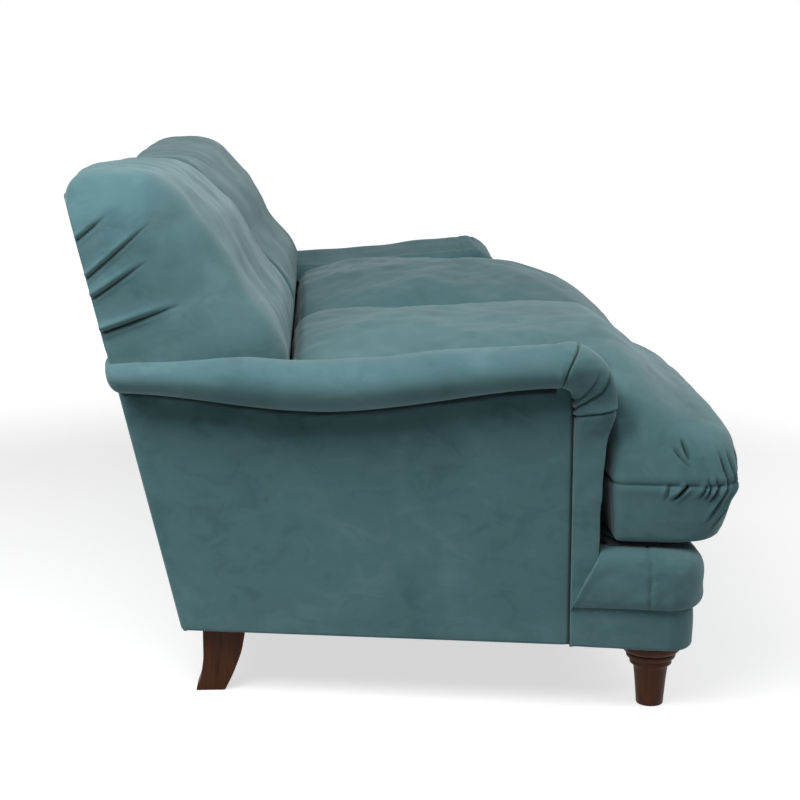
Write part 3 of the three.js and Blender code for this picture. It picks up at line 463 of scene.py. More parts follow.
UNDER, UNDER_FRONT_RISE, UNDER_REAR_RISE = 503.5, 44.5, 25.0  # underside of the roll and its rise to its ends
LOWEST_Y, REAR_RISE_RUN = -227.0, 319.2  # where it is lowest, and the length of its rise to the rear
CREST, CREST_RISE, CREST_Y = 587.0, 29.0, -187.0  # crest, its rise to the front and where that begins
ROLL_REAR, REAR_ROUND = 100.2, 14.0  # rear end of the roll and how far it is rounded
ROLL_MIDDLE, ROLL_SPREAD = 32.0, 0.033  # middle of the roll at its front, and its way outwards, per length
CURL = 19.0  # how far the underside of the roll curls back to the panel
BEND_Y, BEND_Z = -606.0, 520.0  # middle of the bend
BEND_RUN = 62.0  # radius at which places along the pad are measured round the bend
BEND_LENGTH = 97.4  # place along the pad where the bend ends
CREASE = 28.0  # from the middle of the bend to the crease against the side panel
TUCK = 30.0  # how far the cover goes in under the roll
FRONT_LENGTH = 345.0  # from the bend down to the lip
# Form of a section: middle and bulge of its round side, how square that is, width and height of the rounding
# to the inside of the arm, fall of the top towards it, and how far the top domes
ROLL_FORM = np.array([ROLL_MIDDLE - CURL, 34 + CURL, 2.0, 30, 34, 24, 0])
FRONT_FORM = np.array([0, 20, 3.2, 16, 13, 0, 2.5])
FOOT_FORM_CHANGE = np.array([0, -15.5, 0.8, 0, 0, 0, 0])  # what the form gains towards the foot of the front
BULGE_RUN, SQUARE_RUN = 85.0, 120.0  # and the lengths over which its bulge and squareness do
HEAD = [(0, 97), (16, 101), (38, 100), (62, 96), (90, 90)]  # degrees round the bend, reach of the pad
FRONT = [(180, 70), (370, 72), (423, 77), (471, 84), (495, 88), (520, 90)]  # height, reach of the pad
# Slanting foot of the front: its height at the crease, its greatest height, slope, and depth inside the lip
FOOT_LOW, FOOT_HIGH, FOOT_SLOPE, FOOT_SINK = 191.0, 286.0, 1.94, 12.0
FOOT_INSIDE_P = -20.0  # from here inwards the foot is level
# Pleats of the arm front as (share of the way across the pad, place along it), their depth, lap and reach
PLEATS = [
    ([(-0.1, 1.5), (0.0, 2.5), (0.5, 9.5), (1.0, 18.4), (1.6, 27.0)], 4.2, 0.0, 1.5),
    ([(-0.1, 83), (0.0, 81), (0.35, 66), (0.66, 50), (0.9, 38)], 3.6, 0.8, 0.62),
    ([(-0.1, 110), (0.0, 106), (0.4, 84), (0.85, 61.5), (1.3, 44)], 4.4, 0.8, 1.02),
    ([(-0.1, 117), (0.0, 117), (0.5, 113), (1.0, 107), (1.6, 101)], 4.0, 0.7, 1.25),
]
# Points of a section: tucked under the roll, round it, over the top, round to the inside, down the inside
TUCK_POINTS, ROUND_POINTS, TOP_POINTS, TURN_POINTS, INSIDE_POINTS = 8, 60, 25, 18, 14


def roll_under(y):
    to_front, to_rear = smooth((LOWEST_Y - y) / (SIDE + LOWEST_Y)), smooth((y - LOWEST_Y) / REAR_RISE_RUN)
    return UNDER + UNDER_FRONT_RISE * to_front + UNDER_REAR_RISE * to_rear


def roll_crest(y):
    return CREST + CREST_RISE * smooth((CREST_Y - y) / (SIDE + CREST_Y))


def arm_section(low, high, form, foot):
    """Half section of the cover: tuck, roll or pad, top, and the inside of the arm down to its foot."""
    centre, bulge, power, shoulder, drop, dip, dome = form
    t = np.linspace(0, 1, TUCK_POINTS, endpoint=False)
    tuck = np.stack([-TUCK + (centre + TUCK) * t, np.full(TUCK_POINTS, low)], -1)
    angle = np.linspace(-QUARTER, QUARTER, ROUND_POINTS)
    reach = np.abs(np.cos(angle)) ** (2 / power)
    rise = np.sign(np.sin(angle)) * np.abs(np.sin(angle)) ** (2 / power)
    roll = np.stack([centre + bulge * reach, (low + high) / 2 + (high - low) / 2 * rise], -1)
    t = np.linspace(0, 1, TOP_POINTS + 2)[1:-1]
    left = -ARM + shoulder
    top = np.stack([centre + (left - centre) * t, high - dip * t**1.3 + dome * np.sin(np.pi * t)], -1)
    angle = np.linspace(QUARTER, 2 * QUARTER, TURN_POINTS)
    turn = np.stack([left + shoulder * np.cos(angle), high - dip - drop + drop * np.sin(angle)], -1)
    depth = np.linspace(0, 1, INSIDE_POINTS + 1)[1:, None]
    foot_z = turn[-1, 1] - 4 if foot is None else foot
    inside = turn[-1] + (np.array([-ARM, foot_z]) - turn[-1]) * depth
    return np.concatenate([tuck, roll, top, turn, inside])


def roll_stations():
    """Sections from the rounded rear end of the roll to the bend, each with its place along the pad."""
    ends = [(ROLL_REAR - REAR_ROUND * (1 - math.cos(a)), REAR_ROUND * (1 - math.sin(a)))
            for a in np.linspace(0, QUARTER, 8)[:-1]]
    for y, inset in ends + [(y, 0.0) for y in spaced(86, (-580, 170), (BEND_Y, 24))]:
        low, high = roll_under(y), roll_crest(y)
        radius = (high - low) / 2
        form = ROLL_FORM.copy()
        form[0] += ROLL_SPREAD * (SIDE + y)
        form[1] = radius + CURL
        section = arm_section(low, high, form, BEND_Z if y < INNER_ARM_Y else None)
        if inset:
            outside = form[0] + form[1]
            middle = np.array([(outside - ARM) / 2, (low + high) / 2])
            section = middle + (section - middle) * (1 - inset / np.array([(outside + ARM) / 2, radius]))
        lean = smooth((y - LOWEST_Y) / (ROLL_REAR - LOWEST_Y)) * RAKE * (section[:, 1] - low)
        yield np.stack([section[:, 0], y + lean, section[:, 1]], -1), BEND_Y - y


def bend_stations():
    """Sections round the bend, each with its place along the pad."""
    for degrees in np.linspace(0, 90, 150)[1:]:
        form = ROLL_FORM + (FRONT_FORM - ROLL_FORM) * smooth(degrees / 90)
        p, q = arm_section(CREASE, np.interp(degrees, *zip(*HEAD)), form, 0).T
        a = math.radians(degrees)
        yield np.stack([p, BEND_Y - q * math.sin(a), BEND_Z + q * math.cos(a)], -1), BEND_RUN * a


def front_stations():
    """Sections down the front of the arm, each with its place along the pad."""
    for drop in spaced(0, (40, 30), (FRONT_LENGTH, 66))[1:]:
        form = FRONT_FORM.copy()
        form[1] += FOOT_FORM_CHANGE[1] * smooth(drop / BULGE_RUN)
        form[2] += FOOT_FORM_CHANGE[2] * smooth(drop / SQUARE_RUN)
        p, q = arm_section(CREASE, np.interp(BEND_Z - drop, *zip(*FRONT)), form, 0).T
        slant = np.clip(FOOT_LOW + (q - CREASE) * FOOT_SLOPE, FOOT_LOW, FOOT_HIGH)
        foot = np.where(p > FOOT_INSIDE_P, slant, FOOT_HIGH) - FOOT_SINK
        level = BEND_Z - drop + drop / FRONT_LENGTH * (foot - (BEND_Z - FRONT_LENGTH))
        yield np.stack([p, BEND_Y - q, level], -1), BEND_RUN * QUARTER + drop


def arm_pleats(s, across):
    """Height of the pleats over the arm front, and the painted shade in them and in the tuck under the roll."""
    scale = np.where((s > 0) & (s < BEND_LENGTH), 0.45 + 0.62 * np.clip(across, 0, 1.05), 1.0)
    height = np.zeros_like(across)
    # painted shade in the tuck under the roll and along each pleat
    painted_darkening = 0.9 * smooth((0.01 - across) / 0.01)
    for line, depth, lap, reach in PLEATS:
        off = (s - np.interp(across, *zip(*line))) * scale
        strength = (1 - smooth((across - reach * 0.72) / (reach * 0.28 + 0.05))) * (s > -30)
        painted_darkening = painted_darkening + 0.75 * strength * bell(off, 1.3)
        if lap:
            lip = 0.8 * depth * lap * bell(np.minimum(off + 3.6, 0), 9) * bell(np.maximum(off + 3.6, 0), 3.0)
            valley = -depth * bell(np.minimum(off, 0), 1.4) * bell(np.maximum(off, 0), 3.4)
            height += strength * (lip + valley)
        else:
            height += strength * (-1.1 * depth * bell(off, 1.3) + 0.7 * bell(np.abs(off) - 8, 6))
    return height, painted_darkening


def arm_cover(side, seed):
    """The cover over the roll, the arm front and the inside of the arm."""
    roll = list(roll_stations())
    stations = roll + list(bend_stations()) + list(front_stations())
    grid = np.array([points for points, _ in stations])
    s = np.array([at for _, at in stations])[:, None] * np.ones(grid.shape[1])
    p = grid[..., 0].copy()
    grid[..., 0] = side_x(p, grid[..., 1])
    normals = pointing(grid_normals(grid), (27, 38), 0, 1)

    # share of the way across: from -0.1 along the tuck, from 0 to 1 round the roll, then 1 more for each 70 mm
    across = np.zeros(grid.shape[:2])
    inner = TUCK_POINTS + ROUND_POINTS
    across[:, :TUCK_POINTS] = -0.1 + 0.1 * np.linspace(0, 1, TUCK_POINTS)
    across[:, TUCK_POINTS:inner] = (1 + np.sin(np.linspace(-QUARTER, QUARTER, ROUND_POINTS))) / 2
    over = np.linalg.norm(np.diff(grid[:, inner - 1:], axis=1), axis=-1)
    across[:, inner:] = 1 + np.cumsum(over, axis=1) / 70
    height, painted_darkening = arm_pleats(s, across)
    rim = smooth((s - 10) / 30)
    height += rim * (0.9 * bell((across - 0.985) * 62, 3.0) - 1.2 * bell((across - 1.09) * 70, 4.0))
    fade = smooth((across + 0.05) / 0.3)
    loose = waves(grid * np.array([1, 0.45, 1]), 60, seed) * 0.55 + waves(grid, 150, seed + 1) * 0.9
    height += loose * fade * np.where(p > -100, 1, 0.3)
    height += 0.35 * waves(grid, 22, seed + 2) * fade * smooth((s + 60) / 80)
    grid = grid + normals * height[..., None]

    rows, columns = grid.shape[:2]
    points = np.concatenate([grid.reshape(-1, 3), [grid[0].mean(0) + [0, 0.5, 0]]])
    faces = grid_faces(rows, columns) + fan(list(range(columns)), rows * columns)
    # the inside of the arm below the roll, from the back to the bend
    top = grid[[i for i, (_, at) in enumerate(roll) if at > BEND_Y - INNER_ARM_Y], -1]
    levels = np.linspace(0, 1, 40)[:, None]
    panel = np.repeat(top[None], len(levels), 0)
    panel[..., 0] -= 3.0 * np.sin(np.pi * levels)
    panel[..., 2] += (DECK - top[:, 2]) * levels
    faces += grid_faces(len(levels), len(top), start=len(points))
    points = np.concatenate([points, panel.reshape(-1, 3)])
    word = SIDES[side]
    replaced = [f"inner_arm_{word}", f"arm_roll_{word}", f"arm_facing_{word}"]
    make(f"arm_cover_{word}", points, faces, replaced, side, fill=0.9, weld=True, crease=painted_darkening)


# Edges of a side panel: how far their rounding reaches and how much it falls
REAR_EDGE, FRONT_EDGE, LOW_EDGE = (9, 5), (20, 5), (6, 5)
PANEL_BACK = 16.0  # how far the panel goes in


def side_panel(side, seed):
    """Outside arm: a taut padded panel whose top runs up under the roll."""
    length = spaced(0, (14, 9), (SIDE - 34, 130), (SIDE, 24))
    up = spaced(0, (0.03, 8), (1, 96))
    grid = np.zeros((len(length), len(up), 3))
    for line, run in zip(grid, length):
        top = roll_under(-run) + 12
        if -run < BEND_Y:
            top = min(top, BEND_Z + math.sqrt(max(0, CREASE**2 - (BEND_Y + run) ** 2)) + 10)
        z = LEG + (top - LEG) * up
        line[:, 1] = -SIDE + (SIDE + rear_face(z)) * (1 - run / SIDE)
        line[:, 2] = z
    y, z = grid[..., 1], grid[..., 2]
    rear, front, bottom = (rear_face(z) - y) / math.hypot(1, RAKE), y + SIDE, z - LEG
    inner = smooth(rear / 120) * smooth(front / 120) * smooth(bottom / 90)
    lift = inner * (2.6 + 0.5 * waves(grid, 190, seed) + 0.16 * waves(grid, 55, seed + 1))
    for distance, (radius, fall) in ((rear, REAR_EDGE), (front, FRONT_EDGE), (bottom, LOW_EDGE)):
        lift -= fall * rounded(distance, radius)
    grid[..., 0] = side_x(lift, y)
    # painted shade in a band just below the roll and along the crease beside the arm front
    shade_under_roll = np.where(y > BEND_Y, smooth((z - roll_under(y) + 14) / 4), 0)
    painted_darkening = np.maximum(shade_under_roll, 0.8 * smooth((7 - front) / 4))
    back = np.stack([side_x(-PANEL_BACK, y), y, z], -1)
    rows, columns = grid.shape[:2]
    low = edge_ring(rows, columns)
    high = list(range(rows * columns, rows * columns + len(low)))
    points = np.concatenate([grid.reshape(-1, 3), back.reshape(-1, 3)[low], [back[rows // 2, columns // 2]]])
    faces = grid_faces(rows, columns) + wall(low, high) + fan(high, len(points) - 1)
    word = SIDES[side]
    make(f"arm_panel_{word}", points, faces, [f"outside_arm_{word}"], side, fill=0.95, crease=painted_darkening)


for side in SIDES:
    arm_cover(side, 11 + side)
    side_panel(side, 31 + side)


# Back

# Section through a back, as (y, z) from its foot over its front and top to the rear edge
BACK_PROFILE = [
    (-143, 283), (-149, 401), (-170, 469), (-177, 519), (-180, 570), (-178, 600), (-171, 634), (-160, 656),
    (-144, 678), (-121, 714), (-103, 750), (-76, 797), (-53, 823), (-30, 848), (-8, 868), (15, 881), (40, 887),
    (75, 889), (120, 887), (150, 879), (167, 865), (172, 850),
]
# Along the sofa: place, how far the front lies back there, and how much lower the top is
BACK_RUN = [(2, 36, 27), (40, 32, 24), (150, 21, 19), (300, 6, 12), (433, 0, 5), (520, 2, 2), (600, 9, 0),
            (700, 17, 2), (806, 26, 6), (864, 32, 12)]
BACK_START = 2.0  # centre line to the inner end of a section
VALLEY = 34.0  # rounding into the valley between the sections, and depth of the part between the arms
END_ROUND, END_SWELL = {-1: 106.0, 1: 74.0}, {-1: 4.0, 1: 7.0}  # rounding of each outer end, swell behind it
LOW_END_ROUND = 20.0  # rounding of the part between the arms
# Pleats on the end of a section, as (y, z) at the rear edge and at their tips, and their depths and widths
END_PLEATS = [
    ((142, 781), (93, 821), 3.2, 4.4),
    ((124, 725), (22, 813), 4.0, 3.8),
    ((120, 689), (31, 749), 4.6, 4.4),
    ((104, 634), (-22, 678), 6.0, 5.0),
]
PLEAT_START = 18.0  # how far beyond the rear edge they begin
BACK_COUNT, LOW_COUNT = 290, 70  # points round the upper and the lower part


def thinned(line, count):
    """Some of a line's points, evenly picked."""
    return line[np.linspace(0, len(line) - 1, count).round().astype(int)]


def edge_rows(span, radius, bulge, count):
    """Rows over a rounding and on to the rear line, as distances from the front and along the sofa."""
    limit = np.arccos(np.clip(1 - span / radius, 0, 1))
    turned = [(radius * (1 - np.cos(limit * t)), radius * np.sin(limit * t))
              for t in np.linspace(0, 1, 34)[1:]]
    left = np.maximum(span - radius, 0)
    reached = np.minimum(span, radius)
    swell = bulge * np.clip(left / 120, 0, 1)
    flat = [(reached + left * t, radius * np.sin(limit) + swell * np.sin(np.pi * t) ** 0.8)
            for t in np.linspace(0, 1, count)[1:]]
    return turned + flat


def back_folds(grid, span, seed):
    """Height of the folds over a section, and the painted shade in its end pleats."""
    x, y, z = grid[..., 0], grid[..., 1], grid[..., 2]
    height = np.zeros_like(x)
    on_end = smooth((x - (BACK_END - 34)) / 26)
    for start, tip, depth, width in END_PLEATS:
        start, tip = np.array(start), np.array(tip)
        start = start + (start - tip) / np.linalg.norm(start - tip) * PLEAT_START
        height += on_end * fold(y, z, (start, tip), depth, width * 0.62, lap=0.8)
    # painted shade in the grooves of the end pleats
    painted_darkening = np.clip(-height / 8, 0, 0.3)
    edge = smooth(span / 60)[None, :]
    front = 1 - smooth((x - (BACK_END - 40)) / 30)
    ends = np.maximum(bell(x - BACK_START, 95), 0.75 * bell(x - (BACK_END - 60), 90))
    at_ends = ends * smooth((30 + span) / 90)[None, :]
    creased = waves(np.stack([x, 0.3 * y, 0.22 * z], -1), 88, seed)
    height += creased * (0.2 + 0.5 * at_ends) * front * edge
    height += 1.6 * waves(grid * np.array([1, 1, 0.6]), 170, seed + 1) * edge * (1 - 0.5 * on_end)
    height += 0.5 * waves(grid, 58, seed + 2) * edge
    # drag lines that rise from the foot of the section, and others that fall from its top
    chance = np.random.default_rng(seed + 5)
    draw = chance.uniform
    for _ in range(7):
        at, lean, rise = draw(20, BACK_END - 60), draw(-22, 22), draw(60, 170)
        depth, width = draw(0.8, 1.9), draw(7, 12)
        ends = ((at, BACK_STEP - 60), (at + lean, BACK_STEP + rise))
        height += front * fold(x, z, ends, depth, width, lap=0.2)
    for _ in range(9):
        at, lean, fall = draw(30, BACK_END - 80), draw(-30, 30), draw(50, 120)
        ends = ((at, 905), (at + lean, 905 - fall))
        height += front * smooth((z - 740) / 60) * fold(x, z, ends, draw(0.5, 1.3), 10, lap=0.2)
    return height * smooth((z - BACK_STEP + 8) / 34), painted_darkening


def upper_back(side, upper, seed):
    """The part of a section that goes over the arm and the top, and the painted shade in its end pleats."""
    rear_z = BACK_STEP + (upper[-1, 1] - BACK_STEP) * np.linspace(0, 1, len(upper)) ** 1.6
    rear_line = np.stack([rear_face(rear_z), rear_z], -1)
    span = np.linalg.norm(rear_line - upper, axis=1)
    way = (rear_line - upper) / np.maximum(span, 1e-6)[:, None]
    near, far = BACK_START + VALLEY, BACK_END - END_ROUND[side]
    plan = [(near - out, d) for d, out in reversed(edge_rows(span, VALLEY, 0, 12))]
    plan += [(x, 0 * span) for x in np.linspace(near, far, 150)]
    plan += [(far + out, d) for d, out in edge_rows(span, END_ROUND[side], END_SWELL[side], 70)]
    grid = np.array([line_at(x, *(upper + way * d[:, None]).T) for x, d in plan])
    depth_share = np.clip((rear_face(grid[..., 2]) - grid[..., 1]) / 200, 0, 1)
    along, back_off, fall = zip(*BACK_RUN)
    grid[..., 1] += np.interp(grid[..., 0], along, back_off) * depth_share * smooth((grid[..., 2] - 575) / 110)
    grid[..., 2] -= np.interp(grid[..., 0], along, fall) * smooth((grid[..., 2] - 760) / 110)
    grid[..., 1] -= 9 * smooth((grid[..., 0] - BACK_END + 80) / 80) * (1 - depth_share)
    normals = pointing(grid_normals(grid), (60, 20), 1, -1)
    height, painted_darkening = back_folds(grid, span, seed)
    return grid + normals * height[..., None], painted_darkening


def lower_back(lower):
    """The part of a section that stands between the arms."""
    foot_y, foot_z = lower.T
    rear_y = rear_face(foot_z) - VALLEY
    end = side_x(-ARM, INNER_ARM_Y) - 1.0
    start, stop = BACK_START + VALLEY, end - LOW_END_ROUND
    # place along the sofa, distance back from the front, and share of the way from there to the rear
    plan = [(BACK_START, VALLEY, t) for t in np.linspace(1, 0, 8)[:-1]]
    plan += [(start - VALLEY * math.sin(a), VALLEY * (1 - math.cos(a)), 0)
             for a in np.linspace(QUARTER, 0, 16)[:-1]]
    plan += [(x, 0, 0) for x in np.linspace(start, stop, 135)]
    plan += [(stop + LOW_END_ROUND * math.sin(a), LOW_END_ROUND * (1 - math.cos(a)), 0)
             for a in np.linspace(0, QUARTER, 8)[1:]]
    plan += [(end, LOW_END_ROUND, t) for t in np.linspace(0, 1, 6)[1:]]
    return np.array([line_at(x, foot_y + back + (rear_y - foot_y - back) * t, foot_z) for x, back, t in plan])


def back_section(side, seed):
    profile = curve(BACK_PROFILE, 1200)
    cut_at = int(np.argmax(profile[:, 1] >= BACK_STEP))
    grid, painted_darkening = upper_back(side, thinned(profile[cut_at:], BACK_COUNT), seed)
    # its rear face, between the two rear lines, and its underside, over the arm
    rear = grid[0] + (grid[-1] - grid[0]) * np.linspace(0, 1, 24)[:, None, None]
    foot = grid[:, 0]
    deep = foot.copy()
    deep[:, 1] = rear_face(BACK_STEP)
    under = foot + (deep - foot) * np.linspace(0, 1, 6)[:, None, None]
    points, faces = np.zeros((0, 3)), []
    for part in (grid, rear, under, lower_back(thinned(profile[:cut_at + 1], LOW_COUNT))):
        faces += grid_faces(*part.shape[:2], start=len(points))
        points = np.concatenate([points, part.reshape(-1, 3)])
    word = SIDES[side]
    make(f"back_section_{word}", points, faces, [f"back_pad_{word}"], side, fill=0.75, weld=True, sharp=62,
         crease=painted_darkening)


# Back panel: heights of the step beside the arms and of the top corners, and how far it goes in
STEP_LOW, STEP_HIGH, PANEL_TOP, CORNER_Z = 574.0, 582.0, 845.0, 775.0
CORNER_RUN, CORNER_DROP, PANEL_THICK = 77.0, 80.0, 6.0


def back_panel(seed):
    """The panel on the leaning rear of the sofa, with its turned edges."""
    z = spaced(LEG, (LEG + 8, 6), (STEP_LOW, 90), (STEP_HIGH, 5), (834, 54), (PANEL_TOP, 7))
    at_step = side_x(-1, rear_face(STEP_LOW))
    half = np.where(z < 576, side_x(-1, rear_face(z)), BACK_END - 8)
    half = half + (at_step - half) * smooth((581 - z) / 5) * (z >= STEP_LOW)
    half = half - 22 * smooth((606 - z) / 28) * smooth((z - STEP_LOW) / 2)
    corner = np.clip((z - CORNER_Z) / CORNER_RUN, 0, 1) ** 2.2
    half = half - CORNER_DROP * (1 - np.sqrt(np.clip(1 - corner, 0, 1)))
    across = np.linspace(-1, 1, 181)
    across = np.sign(across) * np.abs(across) ** 0.9
    x = across * half[:, None]
    z = z[:, None] * np.ones_like(x)
    edge = np.minimum(np.minimum((1 - np.abs(across)) * half[:, None], z - LEG), PANEL_TOP + 1 - z)
    proud = 3.4 - 4.4 * rounded(edge, 5)
    places = np.stack([x, np.zeros_like(x), z], -1)
    loose = 1.2 + 0.5 * waves(places, 210, seed) + 0.15 * waves(places, 60, seed + 1)
    proud = proud + smooth(edge / 70) * loose
    proud = proud - 1.6 * bell(x, 1.8) + 0.5 * bell(np.abs(x) - 7, 4)
    proud = proud - 9 * smooth((np.abs(x) - BACK_END + 90) / 90) * smooth((z - 575) / 10)
    face = np.stack([x, rear_face(z) + proud, z], -1)
    inside = np.stack([x, rear_face(z) - PANEL_THICK, z], -1)
    rows, columns = x.shape
    ring = edge_ring(rows, columns)
    points = np.concatenate([face.reshape(-1, 3), inside.reshape(-1, 3)])
    faces = grid_faces(rows, columns) + grid_faces(rows, columns, start=rows * columns)
    faces += wall(ring, [i + rows * columns for i in ring])
    make("back_panel", points, faces, ["outside_back"], fill=0.95)


for side in SIDES:
    back_section(side, 51 + 3 * side)
back_panel(71)


# Seat cushions: an L in plan, with an ear in front of the arm, and a seam above the border

CUSHION_REAR, EAR_Y, FRONT_Y = -187.0, -698.0, -901.0
SEAM = 390.0
CUSHION_GAP = 3.0  # to the arm; the ear ends 2 mm inside the side panel, and 2 mm are left at the centre line
DECK_GAP, LIP_RISE = 0.3, 9.0  # gap to the platform, and rise of the border over the lip
BOW = 8.0  # how far the front edge bows forwards
CREST_X, CENTRE_X, CENTRE_Y = 425.0, 429.9, -770.0
MIDDLE_Y = -600.0  # place to which the underside closes
EDGE_POWER = 22
BORDER, UNDERSIDE = 106.4, 125.0  # distances below the seam of the border's foot and of the whole underside
# How far the border draws in below the seam, on its sides and at its front, at shares of its height
WALL_LEVELS = [0, 0.03, 0.1, 0.24, 0.4, 0.55, 0.75, 0.87, 1]
WALL_INSET = [14, 9, 6, 4, 2.5, 1.5, 0.5, 0, 0]
FRONT_INSET = [51, 33, 24, 17, 12, 8, 4, 1, 0]
# How each cushion has settled: how far its front has sunk, from where and over how much, and its blunt nose
SETTLED = {-1: (66, -722, 124, 6.6), 1: (11, -650, 130, 2.9)}
CROWN, CROWN_REAR_FALL = 213.0, 33.0
# Gathers on the near side, as (y, height over the seam) at both ends and their depth; dimples on the ear, as
# (y, height over the seam), spread along and up, and depth
SIDE_GATHERS = [
    ((-785, -1), (-781, -28), 2.4), ((-813, -1), (-789, -30), 6.0), ((-843, -1), (-833, -24), 4.6),
    ((-851, -1), (-843, -26), 4.6), ((-864, -1), (-852, -32), 5.0), ((-879, -1), (-853, -76), 5.0),
    ((-898, -1), (-862, -90), 6.0), ((-880, 1), (-862, 69), 3.6), ((-890, 1), (-878, 62), 4.4),
    ((-905, 3), (-895, 59), 3.6), ((-848, 1), (-845, 16), 2.0), ((-861, 1), (-857, 17), 2.4),
    ((-794, 59), (-817, 30), 3.0), ((-810, 75), (-818, 42), 5.0),
]
GATHER_DEPTH, GATHER_WIDTH = 2.1, 2.4  # times the depths above, and how wide a gather is
EAR_DIMPLES = [((-712, 100), 24, 30, 12.0), ((-806, 54), 16, 24, 9.0)]


def cushion_corners(inset, front_inset):
    """Corners in plan: place, rounding, steps round it and points on to the next."""
    rear, ear, front = CUSHION_REAR - inset, EAR_Y - inset, FRONT_Y + front_inset
    inner = 2 + inset
    arm_rear, arm_ear = (side_x(-ARM - CUSHION_GAP, y) - inset for y in (rear, ear))
    outer_ear, outer_front = (side_x(-2, y) - inset for y in (ear, front))
    return [
        ((inner, rear), 19, 14, 190), ((arm_rear, rear), 19, 14, 120), ((arm_ear, ear), 9.5, 6, 26),
        ((outer_ear, ear), 22, 14, 40), ((outer_front, front), 85, 54, 270), ((inner, front), 38, 18, 220),
    ]


CORNER_STARTS = np.cumsum([0] + [steps + 1 + along for _, _, steps, along in cushion_corners(0, 0)])


def cushion_outline(inset, front_inset):
    """Outline in plan, with the same number of points for any inset."""
    corners = cushion_corners(inset, front_inset)
    places = [np.array(corner[0]) for corner in corners]
    radii = [max(corner[1] - inset, corner[1] * 0.25) for corner in corners]
    points = []
    for i, (_, _, steps, along) in enumerate(corners):
        following = (i + 1) % len(corners)
        at, before, after = places[i], places[i - 1], places[following]
        back = (before - at) / np.linalg.norm(before - at)
        on = (after - at) / np.linalg.norm(after - at)
        start, end = at + back * radii[i], at + on * radii[i]
        t = np.linspace(0, 1, steps + 1)[:, None]
        points.append((1 - t) ** 2 * start + 2 * t * (1 - t) * at + t**2 * end)
        t = np.linspace(0, 1, along + 2)[1:-1, None]
        points.append(end + (after - on * radii[following] - end) * t)
    outline = np.concatenate(points)
    inner, outer = places[5][0], places[4][0]
    middle = (inner + outer) / 2
    across = np.clip(np.abs(outline[:, 0] - middle) / (middle - inner), 0, 1)
    forward = np.clip((CENTRE_Y - outline[:, 1]) / (CENTRE_Y - FRONT_Y), 0, 1)
    outline[:, 1] -= BOW * (1 - across**2) * forward
    return outline


def crown(x, y, rise, settled):
    """Height of the crown over the seam, where rise goes from 0 at the seam to 1 inside."""
    sunk, sunk_from, sunk_over, blunt = settled
    to_ear = smooth((EAR_Y + 88 - y) / 110)
    reach = CREST_X + 127 * to_ear
    across = np.clip(np.abs(x - CREST_X) / np.where(x < CREST_X, 446, reach), 0, 1)
    nose = np.clip((-580 - y) / 338, 0, 1)
    rear = np.clip((y + 477) / 300, 0, 1)
    dome = np.sqrt(1 - across**2.6) * np.sqrt(1 - nose**blunt)
    return (CROWN - CROWN_REAR_FALL * rear**2.5 - sunk * smooth((sunk_from - y) / sunk_over)) * dome * rise


def cushion_rings(settled):
    """Rings from the middle of the underside over border and crown, with their distances from the seam."""
    full = cushion_outline(0, 0)
    around = len(full)
    bottom = DECK + DECK_GAP
    centre = np.array([CENTRE_X, MIDDLE_Y])
    low = cushion_outline(WALL_INSET[0], FRONT_INSET[0])
    rings = [line_of(centre + (low - centre) * share, bottom) for share in (0.004, 0.25, 0.5, 0.75, 0.93)]
    levels = [np.full(around, -UNDERSIDE)] * len(rings)
    for h in np.linspace(0, 1, 40)[:-1]:
        drawn = (np.interp(h, WALL_LEVELS, inset) for inset in (WALL_INSET, FRONT_INSET))
        rings.append(line_of(cushion_outline(*drawn), bottom + BORDER * h))
        levels.append(np.full(around, -BORDER * (1 - h)))
    middle = np.array([CENTRE_X, CENTRE_Y])
    power = EDGE_POWER + 55 * smooth((full[:, 1] + 330) / 110) * smooth((full[:, 0] - 10) / 60)
    shares = [(math.cos(a) ** (2 / power), math.sin(a)) for a in np.linspace(0, math.radians(76), 34)]
    last = shares[-1][0]
    for t in np.linspace(0, 1, 52)[1:]:
        s = last * (1 - t) + 0.002 * t
        shares.append((s, np.sqrt(1 - s**power)))
    run = np.zeros(around)
    for i, (s, rise) in enumerate(shares):
        flat = middle + (full - middle) * s[:, None]
        rings.append(line_of(flat, SEAM + crown(flat[:, 0], flat[:, 1], rise, settled)))
        if i:
            run = run + np.linalg.norm(rings[-1] - rings[-2], axis=1)
        levels.append(run)
    return np.array(rings), np.array(levels), full


